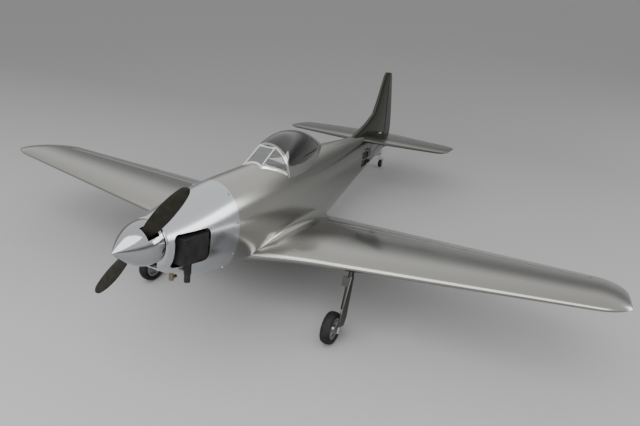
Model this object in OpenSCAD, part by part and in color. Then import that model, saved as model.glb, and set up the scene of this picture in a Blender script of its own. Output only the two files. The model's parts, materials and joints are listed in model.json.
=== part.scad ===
// Giant-scale radio-controlled warbird: a low-wing, tail-wheel fighter with a petrol engine.
// Everything is drawn in the level flight attitude, with +Y aft, +X to the aircraft's left and +Z up,
// from the middle of the spinner backplate on the thrust line. The module ground() then sets the
// aircraft down on its three wheels.

/* [Wing] */
// Distance from wing tip to wing tip
wing_span = 2160; // [2060:10:2260]
// Chord on the centreline
wing_chord_root = 580; // [560:5:600]
// Chord at the tip, before the tip is rounded
wing_chord_tip = 230; // [215:5:245]
// Leading edge on the centreline, behind the spinner backplate
wing_le_root = 402; // [396:1:408]
// How far the leading edge lies further aft at the tip
wing_sweep = 30; // [20:1:40]
// Forward reach of the leading edge where it meets the fuselage
wing_glove = 48; // [40:1:52]
// Span over which that forward reach fades out
wing_glove_span = 300; // [280:5:320]
// Height of the chord line on the centreline
wing_height = -139; // [-142:0.5:-136]
// Rise of the wing outwards, in degrees
wing_dihedral = 6.65; // [6.4:0.05:6.9]
// Thickness of the wing section, in percent of chord
wing_thickness = 13; // [12.6:0.1:13.6]
// Length of the rounded tip
wing_tip_length = 75; // [65:1:85]
// Where the wing panel meets the fuselage fairing
wing_joint = 96; // [94:0.5:100]
// Skin of the wing panels
wing_skin = 2; // [1.6:0.1:2.4]
// Outer diameter of the tube that joins the panels
wing_tube_d = 25; // [20:1:28]
// Length of the tube that joins the panels
wing_tube_length = 600; // [560:10:620]

/* [Ailerons and flaps] */
// Distance of the hinge line from the trailing edge, in percent of chord
hinge_share = 24; // [22:0.5:26]
// Inner end of the flap
flap_inner = 112; // [110:1:118]
// Gap line between flap and aileron
flap_outer = 640; // [620:5:660]
// From the outer end of the aileron to the wing tip
aileron_tip_gap = 90; // [80:5:110]
// Gap round a control surface
surface_gap = 1.5; // [1.2:0.1:2]

/* [Tail] */
// Distance from tip to tip of the tailplane
tail_span = 790; // [740:10:820]
// Leading edge of the tailplane on the centreline
tail_le_root = 1345; // [1335:1:1355]
// Leading edge of the tailplane at its tip
tail_le_tip = 1392; // [1382:1:1402]
// Trailing edge of the elevators at the fuselage
tail_te_root = 1682; // [1676:1:1686]
// Trailing edge of the elevators at the tip
tail_te_tip = 1590; // [1580:1:1600]
// Hinge line of the elevators
elevator_hinge = 1560; // [1555:1:1566]
// Height of the tailplane
tail_height = 142; // [139:0.5:145]
// Angle by which the tailplane's leading edge lies lower, in degrees
tail_tilt = 2.5; // [2:0.1:3]
// Thickness of the tailplane at the fuselage
tail_thickness = 26; // [24:0.5:28]
// Height of the fin's top
fin_top = 444; // [430:2:452]
// Thickness of the fin at its foot
fin_thickness = 26; // [24:0.5:28]

/* [Fuselage] */
// Skin of fuselage and cowl
body_skin = 2.5; // [2:0.1:3]
// Rear edge of the cowl
cowl_rear = 258; // [254:0.5:262]
// Front edge of the cowl, behind the spinner backplate
cowl_front = 8; // [7:0.5:10]
// End of the fuselage at the rudder post
tail_post = 1676; // [1672:1:1678]

/* [Propeller] */
// Diameter of the propeller
prop_d = 432; // [406:1:482]
// Angle of the propeller blades from upright, in degrees
prop_angle = 40; // [0:1:90]
// Diameter of the spinner
spinner_d = 114; // [110:1:116]
// Length of the spinner
spinner_length = 102; // [95:1:110]
// Diameter of the propeller shaft
prop_shaft_d = 10; // [8:0.5:12]

/* [Landing gear] */
// Distance of the main legs from the centreline
gear_track = 370; // [364:1:376]
// Leg pivot, behind the spinner backplate
gear_pivot_y = 458; // [454:1:462]
// Main axle, behind the spinner backplate
gear_axle_y = 410; // [404:1:416]
// Height of the main axle below the thrust line
gear_axle_z = -293; // [-300:1:-286]
// Diameter of the main tyres
main_wheel_d = 100; // [96:1:104]
// Width of the main tyres
main_wheel_w = 32; // [28:1:34]
// Diameter of the main axles
axle_d = 8; // [6:0.5:10]
// Diameter of the tail wheel
tail_wheel_d = 40; // [36:1:44]
// Tail wheel axle, behind the spinner backplate
tail_wheel_y = 1724; // [1718:1:1730]
// Height of the tail wheel axle
tail_wheel_z = -23; // [-26:1:-20]

/* [Clearances] */
// Radial clearance of a shaft or pin in its bore
running = 0.05; // [0.03:0.01:0.08]
// Gap between pieces that sit against each other
seat_gap = 0.3; // [0.2:0.05:0.4]

/* [Hidden] */
$fn = 48;
half_span = wing_span / 2;
aileron_outer = half_span - aileron_tip_gap;
wing_te_root = wing_le_root + wing_chord_root;
wing_te_tip = wing_le_root + wing_sweep + wing_chord_tip;
spinner_r = spinner_d / 2;

// Smooth line through a table of stations: column c of rows sorted by their first entry, at y
function segment(rows, y, i = 0) =
    i >= len(rows) - 2 || y < rows[i + 1][0] ? i : segment(rows, y, i + 1);
function slope(rows, c, i) =
    let (a = max(i - 1, 0), b = min(i + 1, len(rows) - 1))
    (rows[b][c] - rows[a][c]) / (rows[b][0] - rows[a][0]);
function smooth(rows, c, y) =
    let (
        i = segment(rows, y),
        h = rows[i + 1][0] - rows[i][0],
        t = (y - rows[i][0]) / h,
        t2 = t * t,
        t3 = t2 * t
    )
    rows[i][c] * (2 * t3 - 3 * t2 + 1) + rows[i + 1][c] * (3 * t2 - 2 * t3)
    + h * (slope(rows, c, i) * (t3 - 2 * t2 + t) + slope(rows, c, i + 1) * (t3 - t2));

// Fuselage lines: station, top, bottom, half width, height of the widest point
body_lines = [
    [8, 58, -66, 60, -2],
    [60, 71, -96, 73, -5],
    [130, 87, -124, 85, -5],
    [200, 102, -138, 93, -4],
    [262, 113, -146, 97, -3],
    [360, 124, -154, 99, -3],
    [480, 135, -164, 99, -5],
    [620, 142, -170, 97, -8],
    [760, 147, -170, 92, -10],
    [880, 150, -160, 86, -6],
    [980, 151, -140, 79, 4],
    [1100, 152, -104, 68, 22],
    [1260, 152, -56, 52, 44],
    [1420, 150, -12, 38, 68],
    [1560, 146, 26, 25, 84],
    [1690, 140, 52, 15, 95]
];
// Squareness of the upper and the lower half of a fuselage section
body_top_power = 2.0;
body_low_power = 2.5;
body_sides = 40;

// One point of a fuselage section, at angle a from the top, drawn in by inset
function body_point(y, a, inset = 0) =
    let (
        top = smooth(body_lines, 1, y) - inset,
        low = smooth(body_lines, 2, y) + inset,
        wide = smooth(body_lines, 3, y) - inset,
        mid = smooth(body_lines, 4, y),
        p = 2 / (cos(a) > 0 ? body_top_power : body_low_power),
        s = sin(a),
        c = cos(a)
    )
    [
        wide * sign(s) * pow(abs(s), p),
        y,
        mid + (c > 0 ? (top - mid) * pow(c, p) : (low - mid) * pow(-c, p))
    ];
function body_ring(y, inset = 0) =
    [for (i = [0:body_sides - 1]) body_point(y, 360 * i / body_sides, inset)];

// Faces of a loft through rings of n points each, with flat strips closing both ends
function loft_faces(rings, n) =
    let (
        last = (rings - 1) * n,
        half = floor((n - 1) / 2)
    )
    [
        for (r = [0:rings - 2], j = [0:n - 1])
            let (a = r * n + j, b = r * n + (j + 1) % n)
            each [[a, b + n, b], [a, a + n, b + n]],
        for (e = [0, 1]) each [
            for (f = concat(
                [[0, 1, n - 1]],
                [for (j = [1:half - 1]) each [[j, n - j - 1, n - j], [j, j + 1, n - j - 1]]],
                n % 2 == 0 ? [[n / 2 - 1, n / 2, n / 2 + 1]] : []
            )) e == 0 ? f : [last + f[2], last + f[1], last + f[0]]
        ]
    ];
module loft(rings) {
    polyhedron(
        points = [for (r = rings) each r],
        faces = loft_faces(len(rings), len(rings[0]))
    );
}
// A tube-like loft has its rings given the other way round to face outwards
function reversed(list) = [for (i = [len(list) - 1:-1:0]) list[i]];

// Stations of the fuselage shell, so that pieces that sit on it can follow the same facets
body_parts = 20;
function body_station(k) = cowl_rear + 0.5 + (tail_post - cowl_rear - 0.5) * k / body_parts;
module body_loft(y0, y1, steps, inset = 0) {
    loft([for (i = [0:steps]) body_ring(y0 + (y1 - y0) * i / steps, inset)]);
}
module body_range(k0, k1, inset) {
    loft([for (k = [k0:k1]) body_ring(body_station(k), inset)]);
}

// Wing lines
function wing_le(x) =
    wing_le_root + wing_sweep * x / half_span
    - (x < wing_glove_span ? wing_glove * pow(1 - x / wing_glove_span, 2) : 0);
function wing_te(x) = wing_te_root + (wing_te_tip - wing_te_root) * x / half_span;
function wing_plan_chord(x) = wing_chord_root + (wing_chord_tip - wing_chord_root) * x / half_span;
function wing_z(x) = wing_height + x * tan(wing_dihedral);
wing_camber = 0.015;
wing_tip_x = half_span - wing_tip_length;
function tip_s(x) = x > wing_tip_x ? 0.985 * (x - wing_tip_x) / wing_tip_length : 0;
function tip_root(x) = sqrt(1 - pow(tip_s(x), 2));
// Half thickness of the wing section at share u of the chord, as a share of the full thickness
function foil(u) =
    5 * (0.2969 * sqrt(u) - 0.126 * u - 0.3516 * u * u + 0.2843 * pow(u, 3) - 0.1015 * pow(u, 4));
function wing_point(x, u, side, skin = 0) =
    let (
        le = wing_le(x) + 45 * (1 - tip_root(x)),
        te = wing_te(x) - 95 * (1 - tip_root(x)),
        c = te - le,
        h = wing_thickness / 100 * c * foil(u) * tip_root(x)
    )
    [x, le + u * c, wing_z(x) + 4 * wing_camber * u * (1 - u) * c + side * max(h - skin, 0.2)];
wing_steps = 13;
// Ring of the outer wing section, from the leading edge along the underside and back on top
function wing_ring(x) = [
    wing_point(x, 0, 0),
    for (k = [1:wing_steps]) wing_point(x, (1 - cos(180 * k / wing_steps)) / 2, -1),
    for (k = [wing_steps:-1:1]) wing_point(x, (1 - cos(180 * k / wing_steps)) / 2, 1)
];
// Ring of the hollow inside the wing, between the shares u0 and u1 of the chord
function hollow_ring(x, u0, u1, skin) = [
    wing_point(x, u0 - 0.004, 0),
    for (k = [0:6]) wing_point(x, u0 + (u1 - u0) * pow(k / 6, 1.4), -1, skin),
    for (k = [6:-1:0]) wing_point(x, u0 + (u1 - u0) * pow(k / 6, 1.4), 1, skin)
];
panel_root = wing_joint + seat_gap;
wing_stations = concat(
    [panel_root, 130, 170, 220, wing_glove_span, wing_tip_x],
    [for (q = [0.35, 0.6, 0.78, 0.9, 0.97, 1]) wing_tip_x + q * wing_tip_length]
);
module wing_outer() {
    loft([for (x = wing_stations) wing_ring(x)]);
}
// Hollow of the panel; grow draws it in further for pieces that sit inside it
module wing_hollow(grow = 0) {
    loft([
        for (x = [panel_root + 16, 160, 210, wing_glove_span, 700, aileron_outer])
            hollow_ring(x, 0.035, 0.68, wing_skin + grow)
    ]);
}

// Hinge line of flap and aileron, as a frame: along the hinge, aft, up
hinge_u = 1 - hinge_share / 100;
function hinge_at(x) = [
    x,
    wing_te(x) - hinge_share / 100 * wing_plan_chord(x),
    wing_z(x) + 4 * wing_camber * hinge_u * (1 - hinge_u) * wing_plan_chord(x)
];
function unit(v) = v / norm(v);
hinge_root = hinge_at(0);
hinge_e1 = unit(hinge_at(half_span) - hinge_at(0));
hinge_e2 = unit([0, 1, 0] - hinge_e1[1] * hinge_e1);
hinge_e3 = cross(hinge_e1, hinge_e2);
function hinge_s(x) = x / hinge_e1[0];
function hinge_h(x) = wing_thickness / 100 * wing_plan_chord(x) * foil(hinge_u);
module place(o, a, b, c) {
    multmatrix([
        [a[0], b[0], c[0], o[0]],
        [a[1], b[1], c[1], o[1]],
        [a[2], b[2], c[2], o[2]],
        [0, 0, 0, 1]
    ])
    children();
}
module hinge_frame() {
    place(hinge_root, hinge_e1, hinge_e2, hinge_e3) children();
}
module box(x0, x1, y0, y1, z0, z1) {
    translate([x0, y0, z0]) cube([x1 - x0, y1 - y0, z1 - z0]);
}
module rod_x(x0, x1, d) {
    translate([x0, 0, 0]) rotate([0, 90, 0]) cylinder(h = x1 - x0, d = d);
}
module rod_y(y0, y1, d) {
    translate([0, y0, 0]) rotate([-90, 0, 0]) cylinder(h = y1 - y0, d = d);
}
// Round rod from p to q
module rod(p, q, d) {
    v = q - p;
    l = norm(v);
    translate(p)
        rotate([0, acos(v[2] / l), atan2(v[1], v[0])])
            cylinder(h = l, d = d);
}

// Wedge behind the hinge line between x0 and x1, standing back from it by the half thickness plus g
module hinge_pocket(x0, x1, g, end) {
    s0 = hinge_s(x0) - end;
    s1 = hinge_s(x1) + end;
    a = hinge_h(x0) + g;
    b = hinge_h(x1) + g;
    hinge_frame()
        loft([
            [[s0, -a, -90], [s0, 300, -90], [s0, 300, 90], [s0, -a, 90]],
            [[s1, -b, -90], [s1, 300, -90], [s1, 300, 90], [s1, -b, 90]]
        ]);
}
hinge_pin_d = 2.4;
hinge_pin_l = 18;
hinge_tongue_w = 4;
hinge_tongue_h = 6;
hinge_tongue_back = 26;
// Places of the hinges along a surface
function hinge_places(x0, x1) = [for (q = [0.08, 0.5, 0.92]) hinge_s(x0 + q * (x1 - x0))];
flap_hinges = hinge_places(flap_inner, flap_outer);
aileron_hinges = hinge_places(flap_outer, aileron_outer);
module hinge_tongue() {
    w = hinge_tongue_w / 2;
    h = hinge_tongue_h / 2;
    box(-w, w, -hinge_tongue_back, 2, -h, h);
    rod_x(-hinge_pin_l / 2, hinge_pin_l / 2, hinge_pin_d);
}
// Room for the tongue in the wing
module hinge_slot_fixed() {
    w = hinge_tongue_w / 2 + seat_gap;
    h = hinge_tongue_h / 2 + seat_gap;
    box(-w, w, -hinge_tongue_back - seat_gap, 0, -h, h);
}
// Room for tongue and pin in the moving surface
module hinge_slot_moving() {
    w = hinge_tongue_w / 2 + 0.5;
    box(-w, w, -30, 5, -30, 30);
    rod_x(-hinge_pin_l / 2 - 0.5, hinge_pin_l / 2 + 0.5, hinge_pin_d + 2 * running);
}
// Flap or aileron between x0 and x1, cut out of the wing
module wing_surface(x0, x1, places) {
    s0 = hinge_s(x0) + surface_gap / 2;
    s1 = hinge_s(x1) - surface_gap / 2;
    difference() {
        union() {
            intersection() {
                wing_outer();
                hinge_frame() box(s0, s1, 0, 300, -90, 90);
            }
            hinge_frame()
                translate([s0, 0, 0])
                    rotate([0, 90, 0])
                        cylinder(h = s1 - s0, r1 = 0.96 * hinge_h(x0), r2 = 0.96 * hinge_h(x1));
        }
        hinge_frame()
            for (p = places)
                translate([p, 0, 0]) hinge_slot_moving();
    }
}

// Linkage of the aileron: horn and servo arm are equal and parallel, joined by a rod
link_x = (flap_outer + aileron_outer) / 2 - 15;
link_s = hinge_s(link_x);
link_back = 72;
crank = 28;
link_pin_d = 2;
rod_d = 2.5;
horn_t = 3;
// Horn below a surface, in its hinge frame: plate with a pin pointing along the hinge
module horn(deep) {
    difference() {
        translate([-horn_t / 2, 0, 0])
            rotate([90, 0, 90])
                linear_extrude(height = horn_t)
                    polygon([
                        [0, -deep],
                        [14, -deep],
                        [3.5, -crank - 3],
                        [-3.5, -crank - 3],
                        [-3.5, -crank + 4]
                    ]);
    }
    translate([0, 0, -crank]) rod_x(-horn_t / 2 - 5, 0, link_pin_d);
}
// Servo arm hanging from its shaft, with a pin in line with the horn's pin
module servo_arm(shaft) {
    translate([-horn_t / 2, 0, 0])
        rotate([90, 0, 90])
            linear_extrude(height = horn_t)
                polygon([[-4.5, 4], [4.5, 4], [3, -crank - 3], [-3, -crank - 3]]);
    translate([0, 0, -crank]) rod_x(-horn_t / 2 - 5, 0, link_pin_d);
    rod_x(-shaft, 0, 5);
}
// Rod between two eyes at p and q, which sit on pins along the first axis
module link_rod(p, q) {
    eye = 3;
    v = unit(q - p);
    difference() {
        union() {
            rod(p + 2.5 * v, q - 2.5 * v, rod_d);
            for (e = [p, q])
                translate(e) rod_x(-eye / 2, eye / 2, 6.5);
        }
        for (e = [p, q])
            translate(e) rod_x(-eye, eye, link_pin_d + 2 * running);
    }
}
link_eye = -horn_t / 2 - 2.2;
servo_w = 20;
servo_l = 40;
servo_h = 36;
servo_shaft = 6;

// Main gear: pivot, leg direction and the turn that lays the leg into the wing
wheel_inset = 24;
gear_pivot = [gear_track, gear_pivot_y, wing_z(gear_track) - 12];
gear_foot = [gear_track, gear_axle_y, gear_axle_z];
leg_length = norm(gear_foot - gear_pivot);
leg_dir = unit(gear_foot - gear_pivot);
leg_aft = cross([1, 0, 0], leg_dir);
wing_normal = [-sin(wing_dihedral), 0, cos(wing_dihedral)];
stow_sweep = 15;
stow_dir = cos(stow_sweep) * [-cos(wing_dihedral), 0, -sin(wing_dihedral)] + sin(stow_sweep) * [0, 1, 0];
stow_aft = cross(-wing_normal, stow_dir);
// Turning matrix from the extended to the stowed leg, then its axis and angle
function turn(i, j) =
    -wing_normal[i] * [1, 0, 0][j] + stow_dir[i] * leg_dir[j] + stow_aft[i] * leg_aft[j];
gear_angle = acos((turn(0, 0) + turn(1, 1) + turn(2, 2) - 1) / 2);
gear_axis = unit([turn(2, 1) - turn(1, 2), turn(0, 2) - turn(2, 0), turn(1, 0) - turn(0, 1)]);
// Frame of the extended leg: outboard, aft, up along the leg
module leg_frame() {
    place(gear_pivot, [1, 0, 0], leg_aft, -leg_dir) children();
}
module stowed_frame() {
    place(gear_pivot, -wing_normal, stow_aft, -stow_dir) children();
}
// Frame of the pivot pin: along the pin, and two directions across it
pin_across = unit(cross(gear_axis, [1, 0, 0]));
module pin_frame() {
    place(gear_pivot, gear_axis, pin_across, cross(gear_axis, pin_across)) children();
}
leg_tube_d = 16;
piston_d = 11;
leg_tube_end = 128;
oleo_travel = 8;
pivot_boss = 20;
pivot_boss_d = 15;
pivot_pin_d = 5;
pivot_pin_l = 41;
door_out = 9.5;
door_t = 2;
door_top = 22;
door_low = leg_length - 18;
// Outline of the leg door, as distance aft and height along the leg, grown by g
function door_outline(g) = [
    [-26 - g, -door_top + g],
    [-4 + g, -door_top + g],
    [12 + g, -door_low + 24 - g / 2],
    [4 + g / 2, -door_low - g],
    [-38 - g, -door_low - g],
    [-40 - g, -door_low + 14]
];
well_r = main_wheel_d / 2 + 13.5;
well_top = main_wheel_w / 2 + 2;
// Room for leg, door and wheel inside the wing, with the oleo out or pressed in
well_in = leg_length - oleo_travel / 2;
module gear_well() {
    stowed_frame() {
        translate([-wheel_inset, 0, -well_in]) rod_x(0, 70, 2 * well_r);
        translate([-wheel_inset, 0, -well_in])
            rotate([0, -90, 0])
                cylinder(h = well_top, r1 = well_r, r2 = main_wheel_d / 2 - 10 + oleo_travel / 2);
        translate([-26, 0, 0])
            rotate([90, 0, 90])
                linear_extrude(height = 90)
                    polygon(door_outline(4));
        box(-26, 70, -17, 14, -door_low, 15);
    }
}

// Tail lines. The section of a tail surface is round in front, level to the middle, then thins out
function slab(u) =
    let (q = min(1, u / 0.15))
    0.5 * sqrt(q * (2 - q)) * (u < 0.45 ? 1 : 1 - 0.85 * pow((u - 0.45) / 0.55, 1.5));
tail_half = tail_span / 2;
tail_tip_length = 50;
function tail_tip(x) =
    let (s = 0.985 * max(0, (abs(x) - tail_half + tail_tip_length) / tail_tip_length))
    sqrt(1 - s * s);
function tail_le(x) =
    tail_le_root + (tail_le_tip - tail_le_root) * abs(x) / tail_half + 60 * (1 - tail_tip(x));
function tail_te(x) =
    tail_te_root + (tail_te_tip - tail_te_root) * abs(x) / tail_half - 40 * (1 - tail_tip(x));
function tail_thick(x) = tail_thickness * (1 - 0.5 * abs(x) / tail_half) * tail_tip(x);
function tail_point(x, u, side, skin = 0, grow = 0) =
    let (
        le = tail_le(x) - grow,
        te = tail_te(x) + grow,
        h = side * max(tail_thick(x) * slab(u) - skin + grow, 0.2),
        v = le + u * (te - le) - elevator_hinge
    )
    [
        x,
        elevator_hinge + v * cos(tail_tilt) - h * sin(tail_tilt),
        tail_height + v * sin(tail_tilt) + h * cos(tail_tilt)
    ];
tail_steps = 10;
function tail_ring(x, grow = 0) = [
    tail_point(x, 0, 0, 0, grow),
    for (k = [1:tail_steps]) tail_point(x, (1 - cos(180 * k / tail_steps)) / 2, -1, 0, grow),
    for (k = [tail_steps:-1:1]) tail_point(x, (1 - cos(180 * k / tail_steps)) / 2, 1, 0, grow)
];
function tail_hollow_ring(x) = [
    tail_point(x, 0.03, 0),
    for (k = [0:5]) tail_point(x, 0.035 + 0.44 * k / 5, -1, 2),
    for (k = [5:-1:0]) tail_point(x, 0.035 + 0.44 * k / 5, 1, 2)
];
tail_places = [for (q = [0, 0.35, 0.6, 0.78, 0.9, 0.97, 1]) tail_half - tail_tip_length * (1 - q)];
module tail_outer() {
    loft([for (x = concat([for (v = reversed(tail_places)) -v], [0], tail_places)) tail_ring(x)]);
}
elevator_inner = 29;
elevator_outer = tail_half - 34;
function tail_u(x) = (elevator_hinge - tail_le(x)) / (tail_te(x) - tail_le(x));
function elevator_h(x) = tail_thick(x) * slab(tail_u(x));
module elevator_frame() {
    translate([0, elevator_hinge, tail_height]) children();
}
elevator_hinges = [70, 200, 310];
// Room for one elevator half, open behind
module elevator_pocket() {
    s0 = elevator_inner - surface_gap;
    s1 = elevator_outer + surface_gap;
    a = elevator_h(elevator_inner) + surface_gap;
    b = elevator_h(elevator_outer) + surface_gap;
    elevator_frame()
        loft([
            [[s0, -a, -60], [s0, 300, -60], [s0, 300, 60], [s0, -a, 60]],
            [[s1, -b, -60], [s1, 300, -60], [s1, 300, 60], [s1, -b, 60]]
        ]);
}
torque_d = 5;
elevator_horn_x = 50;

// Fin and rudder, drawn as one and then parted along the rudder hinge
fin_low = 64;
fin_lines = [
    [64, 1200],
    [140, 1222],
    [165, 1290],
    [200, 1392],
    [250, 1492],
    [310, 1527],
    [370, 1554],
    [452, 1591]
];
rudder_top = [0, 1640, 436];
rudder_low = [0, 1700, 80];
rudder_axis = unit(rudder_top - rudder_low);
rudder_slope = (rudder_top[1] - rudder_low[1]) / (rudder_top[2] - rudder_low[2]);
function rudder_y(z) = rudder_low[1] + (z - rudder_low[2]) * rudder_slope;
fin_tip_length = 22;
function fin_tip(z) =
    let (s = 0.985 * max(0, (z - fin_top + fin_tip_length) / fin_tip_length))
    sqrt(1 - s * s);
function fin_le(z) = smooth(fin_lines, 1, z) + 12 * (1 - fin_tip(z));
rudder_lines = [[64, 1768], [95, 1786], [150, 1790], [220, 1776], [330, 1736], [452, 1686]];
function fin_te(z) = smooth(rudder_lines, 1, z) - 12 * (1 - fin_tip(z));
function fin_thick(z) = fin_thickness * (1 - 0.45 * max(0, z - 140) / 300) * (0.25 + 0.75 * fin_tip(z));
function fin_half(z) = fin_thick(z) * slab((rudder_y(z) - fin_le(z)) / (fin_te(z) - fin_le(z)));
function fin_point(z, u, side, skin = 0) =
    [side * max(fin_thick(z) * slab(u) - skin, 0.2), fin_le(z) + u * (fin_te(z) - fin_le(z)), z];
function fin_ring(z) = [
    fin_point(z, 0, 0),
    for (k = [1:tail_steps]) fin_point(z, (1 - cos(180 * k / tail_steps)) / 2, 1),
    for (k = [tail_steps:-1:1]) fin_point(z, (1 - cos(180 * k / tail_steps)) / 2, -1)
];
fin_places = concat(
    [fin_low, 100, 150, 180, 210, 250, 310, 360, fin_top - fin_tip_length],
    [for (q = [0.4, 0.7, 0.88, 0.97, 1]) fin_top - fin_tip_length * (1 - q)]
);
module fin_outer() {
    loft([for (z = fin_places) fin_ring(z)]);
}
// Frame of the rudder hinge: across, aft, up along the hinge
rudder_aft = cross(rudder_axis, [1, 0, 0]);
rudder_len = norm(rudder_top - rudder_low);
module rudder_frame() {
    place(rudder_low, [1, 0, 0], rudder_aft, rudder_axis) children();
}
// Hinges of the rudder lie along the hinge's own length
rudder_hinges = [110, 200, 300];
module upright() {
    rotate([0, -90, 0]) children();
}
rudder_r0 = fin_half(90);
rudder_r1 = fin_half(fin_top - fin_tip_length);
rudder_reach = (fin_top - 12 - rudder_low[2]) / rudder_axis[2];

// Modules of the nodes

// Fairing that carries the wing shape into the fuselage, on the left
module wing_stub() {
    loft([for (x = [0, 30, 60, wing_joint]) wing_ring(x)]);
}
module wing_stub_hollow(grow = 0) {
    loft([for (x = [-1, 30, 60, wing_joint + 1]) hollow_ring(x, 0.03, 0.9, 3 + grow)]);
}
module both() {
    children();
    mirror([1, 0, 0]) children();
}
cockpit_front = 506;
cockpit_rear = 796;
cockpit_half = 43;
wing_tube_y = 600;
wing_tube_z = -112;
bolt_ys = [480, 760];
bolt_d = 6;
function bolt_z(y) = y < 600 ? -122 : -118;
servo_y = 1385;
servo_z = 96;
rudder_servo = [11, 1425, 34];
window_front = 1302;
window_rear = 1398;
window_h = 30;
window_low = [56, 20];
module fuselage_shell() {
    color("silver") difference() {
        union() {
            body_range(0, body_parts, 0);
            both() wing_stub();
        }
        body_loft(cowl_rear - 1, tail_post - 14, body_parts, body_skin);
        both() wing_stub_hollow();
        box(-cockpit_half, cockpit_half, cockpit_front, cockpit_rear, 60, 200);
        loft([for (x = [-60, 0, 60]) tail_ring(x, seat_gap)]);
        // Holes for the two servo outputs in the tail
        translate([0, servo_y, servo_z]) rod_x(20, 80, 14);
        translate(rudder_servo) box(0, 60, -19, 19, -8, 8);
        // Two windows before the servos, on the left
        for (z = window_low) box(20, 80, window_front, window_rear, z, z + window_h);
        // Bores for the flap rods
        both() hinge_frame() rod_x(hinge_s(40), hinge_s(wing_joint + 4), torque_d + 2);
        // Slot for the foot of the fin
        fin_foot(seat_gap);
    }
}
// The fin reaches through the skin with a narrow foot
module fin_foot(g) {
    box(-4 - g, 4 + g, 1300 - g, tail_le_root - 8 + g, 138 - g, 158);
}
module tail_fin() {
    color("silver") difference() {
        fin_outer();
        difference() {
            body_loft(1180, 1780, 12, -seat_gap);
            fin_foot(0);
        }
        box(-60, 60, 1180, 1800, 0, 138);
        loft([for (x = [-60, 0, 60]) tail_ring(x, seat_gap)]);
        box(-60, 60, tail_le_root - 4, 1800, 0, tail_height);
        box(-60, 60, elevator_hinge + 60, 1800, 0, tail_height + 8);
        rudder_frame()
            loft([
                for (v = [[-60, rudder_r0 + surface_gap], [500, rudder_r1 + surface_gap]])
                    [[-50, -v[1], v[0]], [50, -v[1], v[0]], [50, 300, v[0]], [-50, 300, v[0]]]
            ]);
        rudder_frame() for (h = rudder_hinges) translate([0, 0, h]) upright() hinge_slot_fixed();
    }
}
module rudder() {
    color("silver") difference() {
        union() {
            intersection() {
                fin_outer();
                rudder_frame() box(-60, 60, 0, 300, -60, rudder_reach + 40);
            }
            rudder_frame()
                translate([0, 0, -14])
                    cylinder(h = rudder_reach + 14, r1 = 0.95 * rudder_r0, r2 = 0.95 * rudder_r1);
            rudder_frame() rudder_horn();
        }
        rudder_frame() for (h = rudder_hinges) translate([0, 0, h]) upright() hinge_slot_moving();
    }
}
rudder_crank = 28;
rudder_horn_h = 12;
module rudder_horn() {
    translate([0, 0, rudder_horn_h - horn_t / 2])
        linear_extrude(height = horn_t)
            polygon([[0, -4], [rudder_crank + 3, -3], [rudder_crank + 3, 3], [4, 16], [0, 16]]);
    translate([rudder_crank, 0, rudder_horn_h - horn_t / 2 - 5]) cylinder(h = 6, d = link_pin_d);
}
module tailplane() {
    color("silver") difference() {
        tail_outer();
        both() elevator_pocket();
        box(-elevator_inner - 1, elevator_inner + 1, elevator_hinge + 14, 1800, 60, 220);
        elevator_frame() rod_x(-60, 60, torque_d + 2 * running);
        loft([for (x = [-330, -elevator_inner, elevator_inner, 330]) tail_hollow_ring(x)]);
        // Opening of the hollow into the fuselage
        translate([0, tail_le_root + 85, tail_height - 40]) cylinder(h = 34, d = 24);
        elevator_frame()
            for (h = elevator_hinges, m = [-1, 1])
                translate([m * h, 0, 0]) hinge_slot_fixed();
    }
}
module elevators() {
    color("silver") {
        difference() {
            union() {
                both() intersection() {
                    tail_outer();
                    box(elevator_inner, elevator_outer, elevator_hinge, 1800, 60, 220);
                }
                both() elevator_frame()
                    translate([elevator_inner, 0, 0])
                        rotate([0, 90, 0])
                            cylinder(
                                h = elevator_outer - elevator_inner,
                                r1 = 0.95 * elevator_h(elevator_inner),
                                r2 = 0.95 * elevator_h(elevator_outer)
                            );
                elevator_frame() rod_x(-elevator_inner - 4, elevator_inner + 4, torque_d);
                elevator_frame() translate([elevator_horn_x, 0, 0]) horn(5);
            }
            elevator_frame()
                for (h = elevator_hinges, m = [-1, 1])
                    translate([m * h, 0, 0]) hinge_slot_moving();
        }
    }
}

// Wing panel, left; the right one is its mirror image
aileron_servo_s = link_s - servo_shaft - 3;
module wing_panel() {
    difference() {
        wing_outer();
        difference() {
            wing_hollow();
            wing_tube_rib();
        }
        hinge_pocket(flap_inner, aileron_outer, surface_gap, surface_gap);
        gear_well();
        // Bores for the joining tube, the bolts and the flap rod
        translate([0, wing_tube_y, wing_tube_z])
            rod_x(0, wing_tube_length / 2 + 1, wing_tube_d + 2 * running);
        for (y = bolt_ys) translate([0, y, bolt_z(y)]) rod_x(0, panel_root + 30, bolt_d + 2 * running);
        hinge_frame() rod_x(hinge_s(panel_root - 4), hinge_s(flap_inner), torque_d + 2 * running);
        hinge_frame()
            for (h = concat(flap_hinges, aileron_hinges))
                translate([h, 0, 0]) hinge_slot_fixed();
        // Slot for the servo arm in the underside
        hinge_frame() translate([link_s, -link_back, 0]) box(-12, 5, -20, 20, -60, 5);
    }
}
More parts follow.
